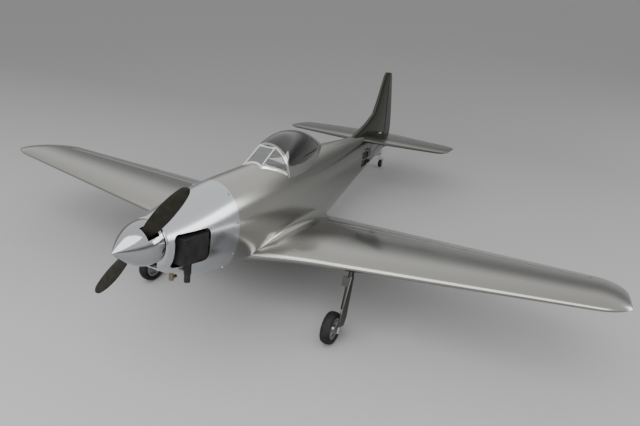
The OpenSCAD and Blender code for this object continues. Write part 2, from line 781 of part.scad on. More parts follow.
// Rib that holds the outer end of the joining tube
module wing_tube_rib() {
    tube_end = wing_tube_length / 2;
    box(tube_end - 22, tube_end - 10, wing_tube_y - 24, wing_tube_y + 24, -200, 0);
}
module wing_left() {
    color("silver") wing_panel();
}
module wing_right() {
    color("silver") mirror([1, 0, 0]) wing_panel();
}
module aileron() {
    wing_surface(flap_outer, aileron_outer, aileron_hinges);
    hinge_frame() translate([link_s, 0, 0]) horn(hinge_h(link_x) - 4);
}
module flap() {
    wing_surface(flap_inner, flap_outer, flap_hinges);
    hinge_frame() rod_x(hinge_s(flap_servo_x), hinge_s(flap_inner + 2), torque_d);
}
flap_servo_x = 34;
module aileron_left() {
    color("silver") aileron();
}
module aileron_right() {
    color("silver") mirror([1, 0, 0]) aileron();
}
module flap_left() {
    color("silver") flap();
}
module flap_right() {
    color("silver") mirror([1, 0, 0]) flap();
}
module aileron_arm() {
    hinge_frame() translate([link_s, -link_back, 0]) servo_arm(servo_shaft);
}
module aileron_rod() {
    hinge_frame() link_rod([link_s + link_eye, -link_back, -crank], [link_s + link_eye, 0, -crank]);
}
module aileron_arm_left() {
    color("dimgray") aileron_arm();
}
module aileron_arm_right() {
    color("dimgray") mirror([1, 0, 0]) aileron_arm();
}
module aileron_rod_left() {
    color("gray") aileron_rod();
}
module aileron_rod_right() {
    color("gray") mirror([1, 0, 0]) aileron_rod();
}

// Elevator and rudder linkages
elevator_servo = [elevator_horn_x, servo_y, servo_z];
module elevator_arm() {
    color("dimgray") translate(elevator_servo) servo_arm(30);
}
module elevator_rod() {
    color("gray") link_rod(
        [elevator_horn_x + link_eye, servo_y, servo_z - crank],
        [elevator_horn_x + link_eye, elevator_hinge, tail_height - crank]
    );
}
module rudder_servo_frame() {
    place(rudder_servo, [1, 0, 0], rudder_aft, rudder_axis) children();
}
module rudder_arm() {
    color("dimgray") rudder_servo_frame() {
        translate([0, 0, -horn_t / 2])
            linear_extrude(height = horn_t)
                polygon([[-4, -4.5], [-4, 4.5], [rudder_crank + 3, 3], [rudder_crank + 3, -3]]);
        cylinder(h = 12, d = 5);
        translate([rudder_crank, 0, -horn_t / 2 - 5]) cylinder(h = 6, d = link_pin_d);
    }
}
rudder_rod_p = rudder_servo + rudder_crank * [1, 0, 0] + link_eye * rudder_axis;
rudder_rod_q = rudder_low + rudder_crank * [1, 0, 0] + (rudder_horn_h + link_eye) * rudder_axis;
module rudder_rod() {
    v = unit(rudder_rod_q - rudder_rod_p);
    color("gray") difference() {
        union() {
            rod(rudder_rod_p + 2.5 * v, rudder_rod_q - 2.5 * v, rod_d);
            for (e = [rudder_rod_p, rudder_rod_q])
                place(e, [1, 0, 0], rudder_aft, rudder_axis)
                    translate([0, 0, -1.5]) cylinder(h = 3, d = 6.5);
        }
        for (e = [rudder_rod_p, rudder_rod_q])
            place(e, [1, 0, 0], rudder_aft, rudder_axis)
                translate([0, 0, -3]) cylinder(h = 6, d = link_pin_d + 2 * running);
    }
}
module servo_case(shaft_gap) {
    difference() {
        box(-shaft_gap - servo_h, -shaft_gap, -10, servo_l - 10, -servo_w / 2, servo_w / 2);
        rod_x(-shaft_gap - 14, 1, 5 + 2 * running);
    }
}
// Dark plates behind the two windows, carried by the elevator servo
module servo_plates() {
    front = window_front - 4;
    rear = window_rear + 4;
    box(32.5, 34.5, front, rear, window_low[0] - 3, window_low[0] + window_h + 2);
    box(28, 30, front, rear, window_low[1] - 3, window_low[1] + window_h + 3);
    box(28, 34.5, front, front + 12, window_low[1] + window_h, window_low[0]);
    box(24, 34.5, servo_y - 6, servo_y + 10, servo_z - 12, servo_z - 8);
}
module servos() {
    color("black") {
        both() hinge_frame() translate([link_s, -link_back, 0]) servo_case(2.2);
        translate(elevator_servo) servo_case(22);
        servo_plates();
        rudder_servo_frame()
            difference() {
                box(-10, 10, -10, servo_l - 10, 2.2, 2.2 + servo_h);
                cylinder(h = 14, d = 5 + 2 * running);
            }
        both() hinge_frame()
            translate([hinge_s(flap_servo_x), 0, 0])
                difference() {
                    box(-20, 12, -20, 20, -10, 10);
                    rod_x(-1, 14, torque_d + 2 * running);
                }
    }
}
module hinges() {
    color("dimgray") {
        both() hinge_frame()
            for (h = concat(flap_hinges, aileron_hinges))
                translate([h, 0, 0]) hinge_tongue();
        elevator_frame()
            for (h = elevator_hinges, m = [-1, 1])
                translate([m * h, 0, 0]) hinge_tongue();
        rudder_frame() for (h = rudder_hinges) translate([0, 0, h]) upright() hinge_tongue();
    }
}
module wing_joiner_tube() {
    color("gray") translate([0, wing_tube_y, wing_tube_z])
        difference() {
            rod_x(-wing_tube_length / 2, wing_tube_length / 2, wing_tube_d);
            rod_x(-wing_tube_length, wing_tube_length, wing_tube_d - 4);
        }
}
rib_x = wing_joint - 10;
rib_t = 8;
module wing_ribs() {
    color("burlywood") both() difference() {
        intersection() {
            wing_stub_hollow(seat_gap);
            box(rib_x, rib_x + rib_t, 440, 810, -250, 0);
        }
        translate([0, wing_tube_y, wing_tube_z]) rod_x(0, 200, wing_tube_d + 2 * running);
        for (y = bolt_ys) translate([0, y, bolt_z(y)]) rod_x(0, 200, bolt_d + 2 * running);
    }
}
module wing_bolts() {
    color("gray") both() for (y = bolt_ys) translate([0, y, bolt_z(y)]) {
        rod_x(rib_x - 3, panel_root + 22, bolt_d);
        rod_x(rib_x - seat_gap - 5, rib_x - seat_gap, 11);
    }
}

// Nose: cowl, firewall and engine
engine_y = 100;
module cowl_cheek() {
    r = 14;
    translate([0, 30, -66])
        rotate([90, 0, 90])
            linear_extrude(height = 140)
                union() {
                    translate([r, 0]) square([112 - 2 * r, 90]);
                    translate([0, r]) square([112, 90 - 2 * r]);
                    for (a = [r, 112 - r], b = [r, 90 - r]) translate([a, b]) circle(r = r);
                }
}
screw_y = cowl_rear - 10;
screw_angles = [38, 82, 118, 150, 210, 242, 278, 322];
screw_d = 3;
function body_normal(y, a) =
    unit(cross(
        body_point(y, a + 1) - body_point(y, a - 1),
        body_point(y + 2, a) - body_point(y - 2, a)
    ));
// Frame of one cowl screw: its axis points outwards
module screw_frame(a) {
    n = body_normal(screw_y, a);
    t = unit(cross(n, [0, 1, 0]));
    o = body_point(screw_y, a);
    place(o, t, cross(n, t), n) children();
}
module engine_cowl() {
    color("lightsteelblue") difference() {
        body_loft(cowl_front, cowl_rear, 8);
        body_loft(cowl_front + 3, cowl_rear + 1, 8, body_skin);
        rod_y(0, 40, 2 * 46);
        box(-32, 32, 0, 40, -62, -20);
        cowl_cheek();
        translate([muffler_x, stub_y, stub_low - 1]) cylinder(h = 80, d = stub_d + 5);
        box(-34, 34, engine_y - 40, engine_y + 40, -220, -70);
        for (a = screw_angles)
            screw_frame(a)
                translate([0, 0, -10]) cylinder(h = 20, d = screw_d + 2 * seat_gap);
    }
}
module cowl_screws() {
    color("gray") for (a = screw_angles) screw_frame(a) {
        translate([0, 0, -8]) cylinder(h = 9, d = screw_d);
        translate([0, 0, seat_gap]) cylinder(h = 2, d = 6.5);
    }
}
firewall_front = cowl_rear + 4;
firewall_t = 6;
module firewall() {
    color("burlywood") difference() {
        body_loft(cowl_rear - 20, firewall_front + firewall_t, 3, body_skin + seat_gap);
        body_loft(cowl_rear - 21, firewall_front, 3, body_skin + 4);
        for (a = screw_angles)
            screw_frame(a)
                translate([0, 0, -12]) cylinder(h = 20, d = screw_d + 2 * running);
        standoff_places() rod_y(0, 400, standoff_bolt + 2 * running);
    }
}
standoff_half = 30;
standoff_d = 14;
standoff_bolt = 5;
case_rear = 150;
module standoff_places() {
    for (x = [-1, 1], z = [-1, 1]) translate([x * standoff_half, 0, z * standoff_half]) children();
}
module engine_standoffs() {
    color("gray") standoff_places() {
        rod_y(case_rear + seat_gap, firewall_front - seat_gap, standoff_d);
        rod_y(case_rear - 10, firewall_front + firewall_t + 2, standoff_bolt);
    }
}
crank_d = 16;
module engine_crankcase() {
    color("gray") difference() {
        union() {
            rod_y(78, case_rear, 62);
            rod_y(50, 80, 38);
            box(-38, 38, case_rear - 8, case_rear, -38, 38);
            box(-27, 27, engine_y - 22, engine_y + 26, -34, 0);
        }
        rod_y(40, 126, crank_d + 2 * running);
        standoff_places() rod_y(100, 200, standoff_bolt + 2 * running);
    }
}
module engine_cylinder() {
    color("dimgray") translate([0, engine_y, 0]) {
        translate([0, 0, -90]) cylinder(h = 90 - 34 - seat_gap, d = 42);
        for (i = [0:8]) box(-29, 29, -29, 29, -43 - 6 * i, -40 - 6 * i);
        box(-24, 24, -24, 24, -98, -88);
    }
}
module spark_plug() {
    color("darkgoldenrod") translate([0, engine_y, 0]) {
        translate([0, 0, -106]) cylinder(h = 8 - seat_gap, d = 16, $fn = 6);
        translate([0, 0, -134]) cylinder(h = 30, d = 13);
        translate([0, 0, -128]) rod_y(0, 18, 9);
    }
}
module carburettor() {
    color("gray") difference() {
        union() {
            box(-17, 17, case_rear + seat_gap, case_rear + 28, -16, 20);
            translate([0, 0, 2]) rod_y(case_rear + 20, case_rear + 40, 26);
        }
        translate([0, 0, 2]) rod_y(case_rear + 8, case_rear + 60, 16);
    }
}
muffler_x = 64;
stub_y = 84;
stub_d = 16;
stub_low = -114;
// The thinner free end of the stub takes the hose
stub_free = 22;
module muffler() {
    color("black") difference() {
        union() {
            box(40, 86, 42, 134, -54, 14);
            box(29 + seat_gap, 42, engine_y - 14, engine_y + 14, -72, -45);
            translate([muffler_x, stub_y, stub_low]) cylinder(h = 70, d = stub_d);
            translate([muffler_x, stub_y, stub_low + stub_free])
                cylinder(h = 70 - stub_free, d = stub_d + 3);
        }
        box(43, 83, 45, 131, -51, 11);
        translate([muffler_x, stub_y, stub_low - 1]) cylinder(h = 80, d = stub_d - 4);
    }
}

// Propeller and spinner
prop_y = -21;
function spinner_at(s) = spinner_r * pow(sin(90 * s), 0.92);
spinner_wall = 2;
module spinner_cone() {
    steps = 16;
    color("silver") difference() {
        rotate([90, 0, 0])
            rotate_extrude($fn = 96)
                polygon(concat(
                    [[0, spinner_length]],
                    [for (i = [1:steps]) [spinner_at(i / steps), spinner_length * (1 - i / steps)]],
                    [for (i = [steps:-1:2])
                        [
                            spinner_at(i / steps) - spinner_wall,
                            max(spinner_length * (1 - i / steps) - 1, 0)
                        ]],
                    [[0, spinner_length * (1 - 2 / steps) - 1]]
                ));
        prop_frame() box(-19, 19, -15, 16, -90, 90);
    }
}
// Frame of the propeller: tangent, aft, along the blade
module prop_frame() {
    translate([0, prop_y, 0]) rotate([0, prop_angle, 0]) children();
}
module spinner_backplate() {
    color("silver") difference() {
        rod_y(seat_gap, 5, spinner_d - 1);
        rod_y(-1, 10, prop_shaft_d + 2 * running);
    }
}
blade_tip = prop_d / 2;
// Blade stations as shares of the radius: chord, thickness, blade angle
blade_lines = [
    [0.07, 24, 15, 48],
    [0.2, 30, 10, 36],
    [0.35, 37, 7.5, 25],
    [0.55, 40, 6, 18],
    [0.75, 36, 5, 14],
    [0.9, 27, 3.6, 12],
    [0.97, 18, 2.6, 11],
    [1, 7, 1.6, 11]
];
function blade_point(b, q, side) =
    let (
        u = -b[1] * (q - 0.42),
        v = side * b[2] / 2 * sqrt(sin(180 * pow(q, 0.75))) + 0.04 * b[1] * sin(180 * q)
    )
    [u * cos(b[3]) + v * sin(b[3]), u * sin(b[3]) - v * cos(b[3]), b[0] * blade_tip];
function blade_ring(b) = [
    blade_point(b, 0, 0),
    for (k = [1:7]) blade_point(b, (1 - cos(180 * k / 8)) / 2, -1),
    blade_point(b, 1, 0),
    for (k = [7:-1:1]) blade_point(b, (1 - cos(180 * k / 8)) / 2, 1)
];
module propeller() {
    color("darkolivegreen") prop_frame() difference() {
        union() {
            rod_y(-13, 14, 40);
            for (m = [0, 180]) rotate([0, m, 0]) loft([for (b = blade_lines) blade_ring(b)]);
        }
        rod_y(-20, 30, prop_shaft_d + 2 * running);
    }
}
module prop_hub() {
    color("gray") {
        rod_y(prop_y - 30, 6, prop_shaft_d);
        translate([0, prop_y, 0]) rod_y(-22, -13 - seat_gap, 20);
        rod_y(5 + seat_gap, 18, 34);
        rod_y(17, 120, crank_d);
    }
}

// Inside of the fuselage
tray_z = -84;
module equipment_tray() {
    color("burlywood") box(-60, 60, firewall_front + firewall_t + seat_gap, 560, tray_z - 4, tray_z);
}
module fuel_tank() {
    color("white") translate([0, 300, tray_z + seat_gap + 30]) rod_y(0, 120, 60);
}
tub_wall = 2;
tub_top = 119;
module cockpit_tub() {
    w = cockpit_half - seat_gap;
    y0 = cockpit_front + seat_gap;
    y1 = cockpit_rear - seat_gap;
    color("dimgray") {
        difference() {
            box(-w, w, y0, y1, 24, tub_top);
            box(-w + tub_wall, w - tub_wall, y0 + tub_wall, y1 - tub_wall, 24 + tub_wall, 200);
        }
        box(-w + 12, w - 12, y0 + 1, y0 + 34, 80, 130);
    }
}
module pilot_seat() {
    color("black") translate([0, 690, 24 + tub_wall + seat_gap]) {
        box(-25, 25, -30, 30, 0, 13);
        translate([0, 18, 0]) rotate([-12, 0, 0]) box(-23, 23, 0, 8, 6, 92);
        translate([0, 32, 76]) rotate([-12, 0, 0]) box(-11, 11, 1, 14, 4, 44);
    }
}

// Windshield: a flat front pane and two side panes between a front frame and a leaning hoop
glass_t = 2;
bar_w = 5;
// Front frame, from its upper corner down the side: half width, height
pane_side = [[29, 178], [29.5, 165], [30, 152], [30.5, 139], [31, 126], [31.5, 110]];
pane_lean = 1.575;
// Hoop, from its upper corner down the side: half width, height
hoop_side = [[30, 181], [42, 171], [57, 154], [69, 131], [74, 106], [73, 66]];
hoop_lean = 0.3;
hoop_y = 538;
function pane_at(z) = 532 - (178 - z) * pane_lean;
function hoop_at(z) = hoop_y + (181 - z) * hoop_lean;
function two_sided(side) = concat(
    [[0, side[0][1], side[0][2]]],
    side,
    [for (i = [len(side) - 1:-1:0]) [-side[i][0], side[i][1], side[i][2]]]
);
function wind_front(g) =
    two_sided([for (p = pane_side) [p[0] - g, pane_at(p[1]) + 0.6 * g, p[1] - 0.9 * g]]);
function wind_rear(g, back) = two_sided([
    for (i = [0:len(hoop_side) - 1])
        let (p = hoop_side[i])
        [p[0] - (i == 0 ? 0.6 : 1) * g, hoop_at(p[1]) + back, p[1] - (i < 2 ? g : 0)]
]);
module windshield_shell() {
    difference() {
        loft([wind_front(0), wind_rear(0, 0)]);
        loft([wind_front(glass_t), wind_rear(glass_t, 1)]);
        body_range(2, 6, -seat_gap);
    }
}
// Frame: a flat front frame and a flat hoop, joined at their top
pane_up = unit([0, pane_lean, 1]);
hoop_up = unit([0, -hoop_lean, 1]);
module wind_pane(g) {
    k = 1 / pane_up[2];
    polygon([for (p = two_sided([for (q = pane_side) [q[0] + g, 0, q[1]]]))
        [p[0], (p[2] - 178) * k + (p[2] > 170 ? g : 0)]]);
}
module wind_hoop(g) {
    k = 1 / hoop_up[2];
    polygon([for (p = two_sided([for (q = hoop_side) [q[0] + g, 0, q[1]]]))
        [p[0], (p[2] - 181) * k + (p[2] > 170 ? g : 0)]]);
}
module windshield_bars(e) {
    place([0, 532, 178], [1, 0, 0], pane_up, cross([1, 0, 0], pane_up))
        translate([0, 0, -3 - e])
            linear_extrude(height = 4.6 + 2 * e)
                difference() {
                    wind_pane(1.2 + e);
                    wind_pane(-bar_w + 1.2 - e);
                }
    place([0, hoop_y, 181], [1, 0, 0], hoop_up, cross([1, 0, 0], hoop_up))
        translate([0, 0, -e])
            linear_extrude(height = 7 + 2 * e)
                difference() {
                    wind_hoop(1.2 + e);
                    wind_hoop(-bar_w + 1.2 - e);
                }
}
base_band = 4.5;
module windshield_glass() {
    color("slategray") difference() {
        windshield_shell();
        windshield_bars(0.2);
        body_range(2, 6, -base_band - 0.2);
    }
}
module windshield_frame() {
    color("silver") difference() {
        union() {
            windshield_bars(0);
            intersection() {
                windshield_shell();
                body_range(2, 6, -base_band);
            }
        }
        body_range(2, 6, -seat_gap);
    }
}

// Sliding canopy: station, half width, base, top
canopy_lines = [
    [520, 72, 82, 174],
    [538, 73, 84, 186],
    [570, 74, 86, 204],
    [620, 74, 88, 219.5],
    [680, 71, 90, 223],
    [740, 64, 94, 217],
    [800, 53, 102, 203],
    [850, 40, 112, 187],
    [895, 25, 126, 169],
    [925, 13, 138, 156],
    [945, 6, 144, 148]
];
canopy_steps = 10;
function canopy_point(y, a, g, drop) =
    let (
        w = max(smooth(canopy_lines, 1, y) - g, 1),
        base = smooth(canopy_lines, 2, y),
        top = smooth(canopy_lines, 3, y) - g
    )
    [w * pow(sin(a), 0.93), y, base - drop + (top - base + drop) * pow(cos(a), 0.93)];
function canopy_ring(y, g, drop) = [
    canopy_point(y, 0, g, drop),
    for (k = [1:canopy_steps]) canopy_point(y, 90 * k / canopy_steps, g, drop),
    for (k = [canopy_steps:-1:1])
        let (p = canopy_point(y, 90 * k / canopy_steps, g, drop))
        [-p[0], p[1], p[2]]
];
canopy_stations = [524, 545, 570, 600, 640, 680, 720, 765, 810, 850, 885];
// Everything ahead of the leaning front edge of the canopy
module canopy_cut(g) {
    place([0, hoop_y, 181], [1, 0, 0], hoop_up, cross([1, 0, 0], hoop_up))
        box(-120, 120, -200, 120, -0.6 - g, 120);
}
module canopy_shell() {
    difference() {
        loft([for (y = concat(canopy_stations, [910, 930])) canopy_ring(y, 0, 0)]);
        loft([for (y = concat([522], canopy_stations, [902])) canopy_ring(y, glass_t, 24)]);
        body_range(3, 10, -0.5);
        canopy_cut(0);
    }
}
frame_band = 19;
module canopy_band(g) {
    body_range(3, 10, -frame_band - g);
    canopy_cut(8 + g);
}
module canopy_glass() {
    color("darkslategray") difference() {
        canopy_shell();
        canopy_band(seat_gap);
    }
}
module canopy_frame() {
    color("silver") intersection() {
        canopy_shell();
        canopy_band(0);
    }
}

// Belly scoop: station, half width, bottom
scoop_lines = [
    [596, 46, -200],
    [660, 52, -212],
    [760, 53, -210],
    [860, 48, -194],
    [950, 41, -164],
    [1020, 33, -132]
];
function scoop_ring(y, g) =
    let (
        w = smooth(scoop_lines, 1, y) - g,
        low = smooth(scoop_lines, 2, y) + g,
        top = smooth(body_lines, 2, y) + 30
    )
    [
        [0, y, low],
        for (k = [1:8])
            [-w * pow(sin(90 * k / 8), 0.6), y, top + (low - top) * pow(cos(90 * k / 8), 0.6)],
        for (k = [8:-1:1])
            [w * pow(sin(90 * k / 8), 0.6), y, top + (low - top) * pow(cos(90 * k / 8), 0.6)]
    ];
module belly_scoop() {
    ys = [600, 640, 700, 780, 860, 940, 1010];
    color("silver") difference() {
        loft([for (y = ys) scoop_ring(y, 0)]);
        loft([for (y = [598, 640, 700, 780, 860, 940, 1012]) scoop_ring(y, 3)]);
        body_range(4, 11, -seat_gap);
        for (d = [[0, -1], [0, 0], [0, 1], [-1, 0], [1, 0]])
            translate([0, 2 * seat_gap * d[0], 2 * seat_gap * d[1]]) both() wing_stub();
    }
}

// Main landing gear, left
module retract_unit() {
    difference() {
        intersection() {
            wing_hollow(seat_gap);
            box(gear_track - 27, gear_track + 27, gear_pivot_y - 16, gear_pivot_y + 34, -220, 60);
        }
        pin_frame() box(-pivot_boss / 2 - 0.6, pivot_boss / 2 + 0.6, -100, 100, -100, 100);
        pin_frame() rod_x(-60, 60, pivot_pin_d + 2 * running);
    }
}
module retract_units() {
    color("gray") both() retract_unit();
}
module gear_leg() {
    difference() {
        union() {
            pin_frame() rod_x(-pivot_boss / 2, pivot_boss / 2, pivot_boss_d);
            pin_frame() rod_x(-pivot_pin_l / 2, pivot_pin_l / 2, pivot_pin_d);
            leg_frame() translate([0, 0, -leg_tube_end]) cylinder(h = leg_tube_end, d = leg_tube_d);
            leg_frame() box(-20, 0, -8, 8, -58, -30);
            leg_frame() for (z = [-44, -112]) box(0, door_out, -5, 5, z - 5, z + 5);
        }
        leg_frame() translate([0, 0, -leg_tube_end - 1]) cylinder(h = 54, d = piston_d + 2 * running);
    }
}
module gear_door() {
    leg_frame()
        translate([door_out + seat_gap, 0, 0])
            rotate([90, 0, 90])
                linear_extrude(height = door_t)
                    polygon(door_outline(0));
}
axle_out = -wheel_inset - main_wheel_w / 2 - 6;
module gear_piston() {
    leg_frame() {
        translate([0, 0, -leg_length]) cylinder(h = leg_length - leg_tube_end + 18, d = piston_d);
        translate([0, 0, -leg_length - 9]) cylinder(h = 22, d = 15);
        translate([0, 0, -leg_length]) rod_x(axle_out, 4, axle_d);
        translate([0, 0, -leg_length]) rod_x(axle_out, axle_out + 5, axle_d + 6);
    }
}
hub_r = 33;
wheel_r = main_wheel_d / 2;
module wheel_frame() {
    leg_frame() translate([-wheel_inset, 0, -leg_length]) rotate([0, 90, 0]) children();
}
// Tyre section: flat inner band, round shoulders and tread
module tyre_ring(r, w, bore) {
    steps = 18;
    mid = (r + bore) / 2 + 2;
    rotate_extrude($fn = 72)
        polygon(concat(
            [[bore, -0.36 * w], [bore, 0.36 * w]],
            [for (i = [0:steps])
                let (a = 118 - 236 * i / steps)
                [mid + (r - mid) * cos(a), w / 2 * sin(a)]]
        ));
}
module main_tyre() {
    wheel_frame() tyre_ring(wheel_r, main_wheel_w, hub_r + 0.02);
}
module main_hub() {
    wheel_frame() rotate_extrude($fn = 72) polygon([
        [axle_d / 2 + running, -13],
        [11, -13],
        [13, -6],
        [24, -5],
        [28, -12],
        [hub_r, -12],
        [hub_r, 12],
        [28, 12],
        [24, 5],
        [13, 6],
        [11, 13],
        [axle_d / 2 + running, 13]
    ]);
}
module gear_leg_left() {
    color("gray") gear_leg();
}
module gear_leg_right() {
    color("gray") mirror([1, 0, 0]) gear_leg();
}
module gear_door_left() {
    color("silver") gear_door();
}
module gear_door_right() {
    color("silver") mirror([1, 0, 0]) gear_door();
}
module gear_piston_left() {
    color("gray") gear_piston();
}
module gear_piston_right() {
    color("gray") mirror([1, 0, 0]) gear_piston();
}
module tyre_left() {
    color("black") main_tyre();
}
module tyre_right() {
    color("black") mirror([1, 0, 0]) main_tyre();
}
module hub_left() {
    color("silver") main_hub();
}
module hub_right() {
    color("silver") mirror([1, 0, 0]) main_hub();
}

// Tail wheel
steer_y = 1702;
steer_d = 5;
fork_half = 9;
tail_axle_d = 4;
module tail_wheel_bracket() {
    color("gray") difference() {
        union() {
            translate([0, steer_y, 24]) cylinder(h = 26, d = 12);
            box(-6, 6, 1640, steer_y, 28, 36);
            box(-6, 6, 1630, 1660, 28, 48);
        }
        translate([0, steer_y, 0]) cylinder(h = 100, d = steer_d + 2 * running);
        body_loft(1560, 1690, 5, -seat_gap);
    }
}
module tail_wheel_fork() {
    r = tail_wheel_d / 2;
    top = tail_wheel_z + r + 6;
    color("gray") {
        translate([0, steer_y, top]) cylinder(h = 50 - top + 1, d = steer_d);
        translate([0, steer_y, 50 + 1]) cylinder(h = 4, d = 10);
        translate([0, steer_y, top + 4]) cylinder(h = 3, d = 10);
        box(-fork_half - 3, fork_half + 3, steer_y - 5, tail_wheel_y + 5, top, top + 4);
        for (m = [-1, 1]) {
            x = m > 0 ? fork_half : -fork_half - 3;
            box(x, x + 3, tail_wheel_y - 5, tail_wheel_y + 5, tail_wheel_z - 5, top + 1);
        }
        translate([0, tail_wheel_y, tail_wheel_z]) rod_x(-fork_half - 5, fork_half + 5, tail_axle_d);
    }
}
module tail_wheel() {
    color("black") translate([0, tail_wheel_y, tail_wheel_z])
        rotate([0, 90, 0])
            tyre_ring(tail_wheel_d / 2, 15, tail_axle_d / 2 + running);
}

// Setting down on the wheels: nose up by stance, wheels on the floor, middle of the box on the origin
stance_a = tail_wheel_y - gear_axle_y;
stance_b = gear_axle_z - tail_wheel_z;
stance_d = main_wheel_d / 2 - tail_wheel_d / 2;
stance = asin(stance_d / norm([stance_a, stance_b])) - atan2(stance_b, stance_a);
ground_z = main_wheel_d / 2 + gear_axle_y * sin(stance) - gear_axle_z * cos(stance);
ground_back = max([for (z = fin_places) fin_te(z) * cos(stance) + z * sin(stance)]);
ground_y = (spinner_length * cos(stance) - ground_back) / 2;
module ground() {
    translate([0, ground_y, ground_z]) rotate([-stance, 0, 0]) children();
}

// The sub-parts, and the one to draw

ground() fuselage_shell();
ground() tail_fin();
ground() tailplane();
ground() wing_left();
ground() wing_right();
ground() wing_joiner_tube();
ground() wing_ribs();
ground() wing_bolts();
ground() firewall();
ground() equipment_tray();
ground() fuel_tank();
ground() engine_cowl();
ground() cowl_screws();
ground() belly_scoop();
ground() windshield_glass();
ground() windshield_frame();
ground() cockpit_tub();
ground() pilot_seat();
ground() engine_crankcase();
ground() engine_cylinder();
ground() spark_plug();
ground() engine_standoffs();
ground() carburettor();
ground() muffler();
ground() servos();
ground() retract_units();
ground() hinges();
ground() tail_wheel_bracket();
ground() spinner_cone();
ground() spinner_backplate();
ground() propeller();
ground() prop_hub();
ground() aileron_left();
ground() aileron_right();
ground() flap_left();
ground() flap_right();
ground() elevators();
ground() rudder();
ground() aileron_arm_left();
ground() aileron_rod_left();
ground() aileron_arm_right();
ground() aileron_rod_right();
ground() elevator_arm();
ground() elevator_rod();
ground() rudder_arm();
ground() rudder_rod();
ground() gear_leg_left();
ground() gear_leg_right();
ground() gear_door_left();
ground() gear_door_right();
ground() gear_piston_left();
ground() gear_piston_right();
ground() hub_left();
ground() hub_right();
ground() tyre_left();
ground() tyre_right();
ground() tail_wheel_fork();
ground() tail_wheel();
ground() canopy_glass();
ground() canopy_frame();
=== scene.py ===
"""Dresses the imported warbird: smooth skins over the CAD solids, finishes, floor, light and camera.

Shapes are drawn as in the source: level flight attitude, millimetres, +Y aft, +X to the aircraft's left,
from the middle of the spinner backplate. ground() sets them down on the wheels, in metres.
"""
import json
from math import asin, atan2, cos, hypot, pi, radians, sin, sqrt, tan

import bmesh
import bpy
from mathutils import Matrix, Vector

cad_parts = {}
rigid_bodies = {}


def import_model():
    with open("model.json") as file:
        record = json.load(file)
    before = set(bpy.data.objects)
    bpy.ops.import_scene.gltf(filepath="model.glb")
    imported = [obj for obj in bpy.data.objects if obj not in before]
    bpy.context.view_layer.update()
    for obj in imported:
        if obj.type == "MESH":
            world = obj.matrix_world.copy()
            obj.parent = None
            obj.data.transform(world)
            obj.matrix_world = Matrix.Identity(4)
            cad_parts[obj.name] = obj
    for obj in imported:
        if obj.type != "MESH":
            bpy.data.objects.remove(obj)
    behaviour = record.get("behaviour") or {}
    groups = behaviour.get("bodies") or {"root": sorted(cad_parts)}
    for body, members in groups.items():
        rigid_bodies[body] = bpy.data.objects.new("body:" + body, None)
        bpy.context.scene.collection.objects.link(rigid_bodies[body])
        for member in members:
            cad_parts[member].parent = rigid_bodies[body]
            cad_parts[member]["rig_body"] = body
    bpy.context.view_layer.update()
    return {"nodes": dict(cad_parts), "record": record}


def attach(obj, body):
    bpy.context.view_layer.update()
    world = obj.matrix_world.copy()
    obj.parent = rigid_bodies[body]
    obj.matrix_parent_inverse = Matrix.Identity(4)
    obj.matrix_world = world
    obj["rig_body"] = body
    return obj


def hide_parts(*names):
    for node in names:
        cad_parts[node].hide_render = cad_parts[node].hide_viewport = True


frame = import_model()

# the aircraft's driving sizes, as in the source
HALF_SPAN = 1080
CHORD_ROOT, CHORD_TIP = 580, 230
LE_ROOT, SWEEP = 402, 30
GLOVE, GLOVE_SPAN = 48, 300
WING_Z, DIHEDRAL = -139, 6.65
THICKNESS, CAMBER = 0.13, 0.015
TIP_LENGTH, TIP_END = 75, 0.985
TIP_TRIM_FRONT, TIP_TRIM_REAR = 45, 95
WING_JOINT = 96
PANEL_ROOT = WING_JOINT + 0.3
HINGE_SHARE = 0.24
FLAP_INNER, FLAP_OUTER, AILERON_OUTER = 112, 640, 990
SURFACE_GAP = 1.5
COWL_FRONT, COWL_REAR = 8, 258
TAIL_POST = 1676
SKIN = 2.5
GEAR_TRACK, GEAR_PIVOT_Y, GEAR_AXLE_Y, GEAR_AXLE_Z = 370, 458, 410, -293
MAIN_R, TAIL_R = 50, 20
TAIL_WHEEL_Y, TAIL_WHEEL_Z = 1724, -23
SPINNER_R, SPINNER_LENGTH = 57, 102
FRAME_SHIFT_Y = -840.81

# station, top, bottom, half width, height of the widest point
BODY_LINES = [
    (8, 58, -66, 60, -2),
    (60, 71, -96, 73, -5),
    (130, 87, -124, 85, -5),
    (200, 102, -138, 93, -4),
    (262, 113, -146, 97, -3),
    (360, 124, -154, 99, -3),
    (480, 135, -164, 99, -5),
    (620, 142, -170, 97, -8),
    (760, 147, -170, 92, -10),
    (880, 150, -160, 86, -6),
    (980, 151, -140, 79, 4),
    (1100, 152, -104, 68, 22),
    (1260, 152, -56, 52, 44),
    (1420, 150, -12, 38, 68),
    (1560, 146, 26, 25, 84),
    (1690, 140, 52, 15, 95),
]
TOP_POWER, LOW_POWER = 2.0, 2.5

# station, half width, base, top
CANOPY_LINES = [
    (520, 72, 82, 174),
    (538, 73, 84, 186),
    (570, 74, 86, 204),
    (620, 74, 88, 219.5),
    (680, 71, 90, 223),
    (740, 64, 94, 217),
    (800, 53, 102, 203),
    (850, 40, 112, 187),
    (895, 25, 126, 169),
    (925, 13, 138, 156),
    (945, 6, 144, 148),
]

# stance: level frame to the frame on the floor
AXLES_Y = TAIL_WHEEL_Y - GEAR_AXLE_Y
AXLES_Z = GEAR_AXLE_Z - TAIL_WHEEL_Z
STANCE = asin((MAIN_R - TAIL_R) / hypot(AXLES_Y, AXLES_Z)) - atan2(AXLES_Z, AXLES_Y)
FRAME_SHIFT_Z = MAIN_R + GEAR_AXLE_Y * sin(STANCE) - GEAR_AXLE_Z * cos(STANCE)


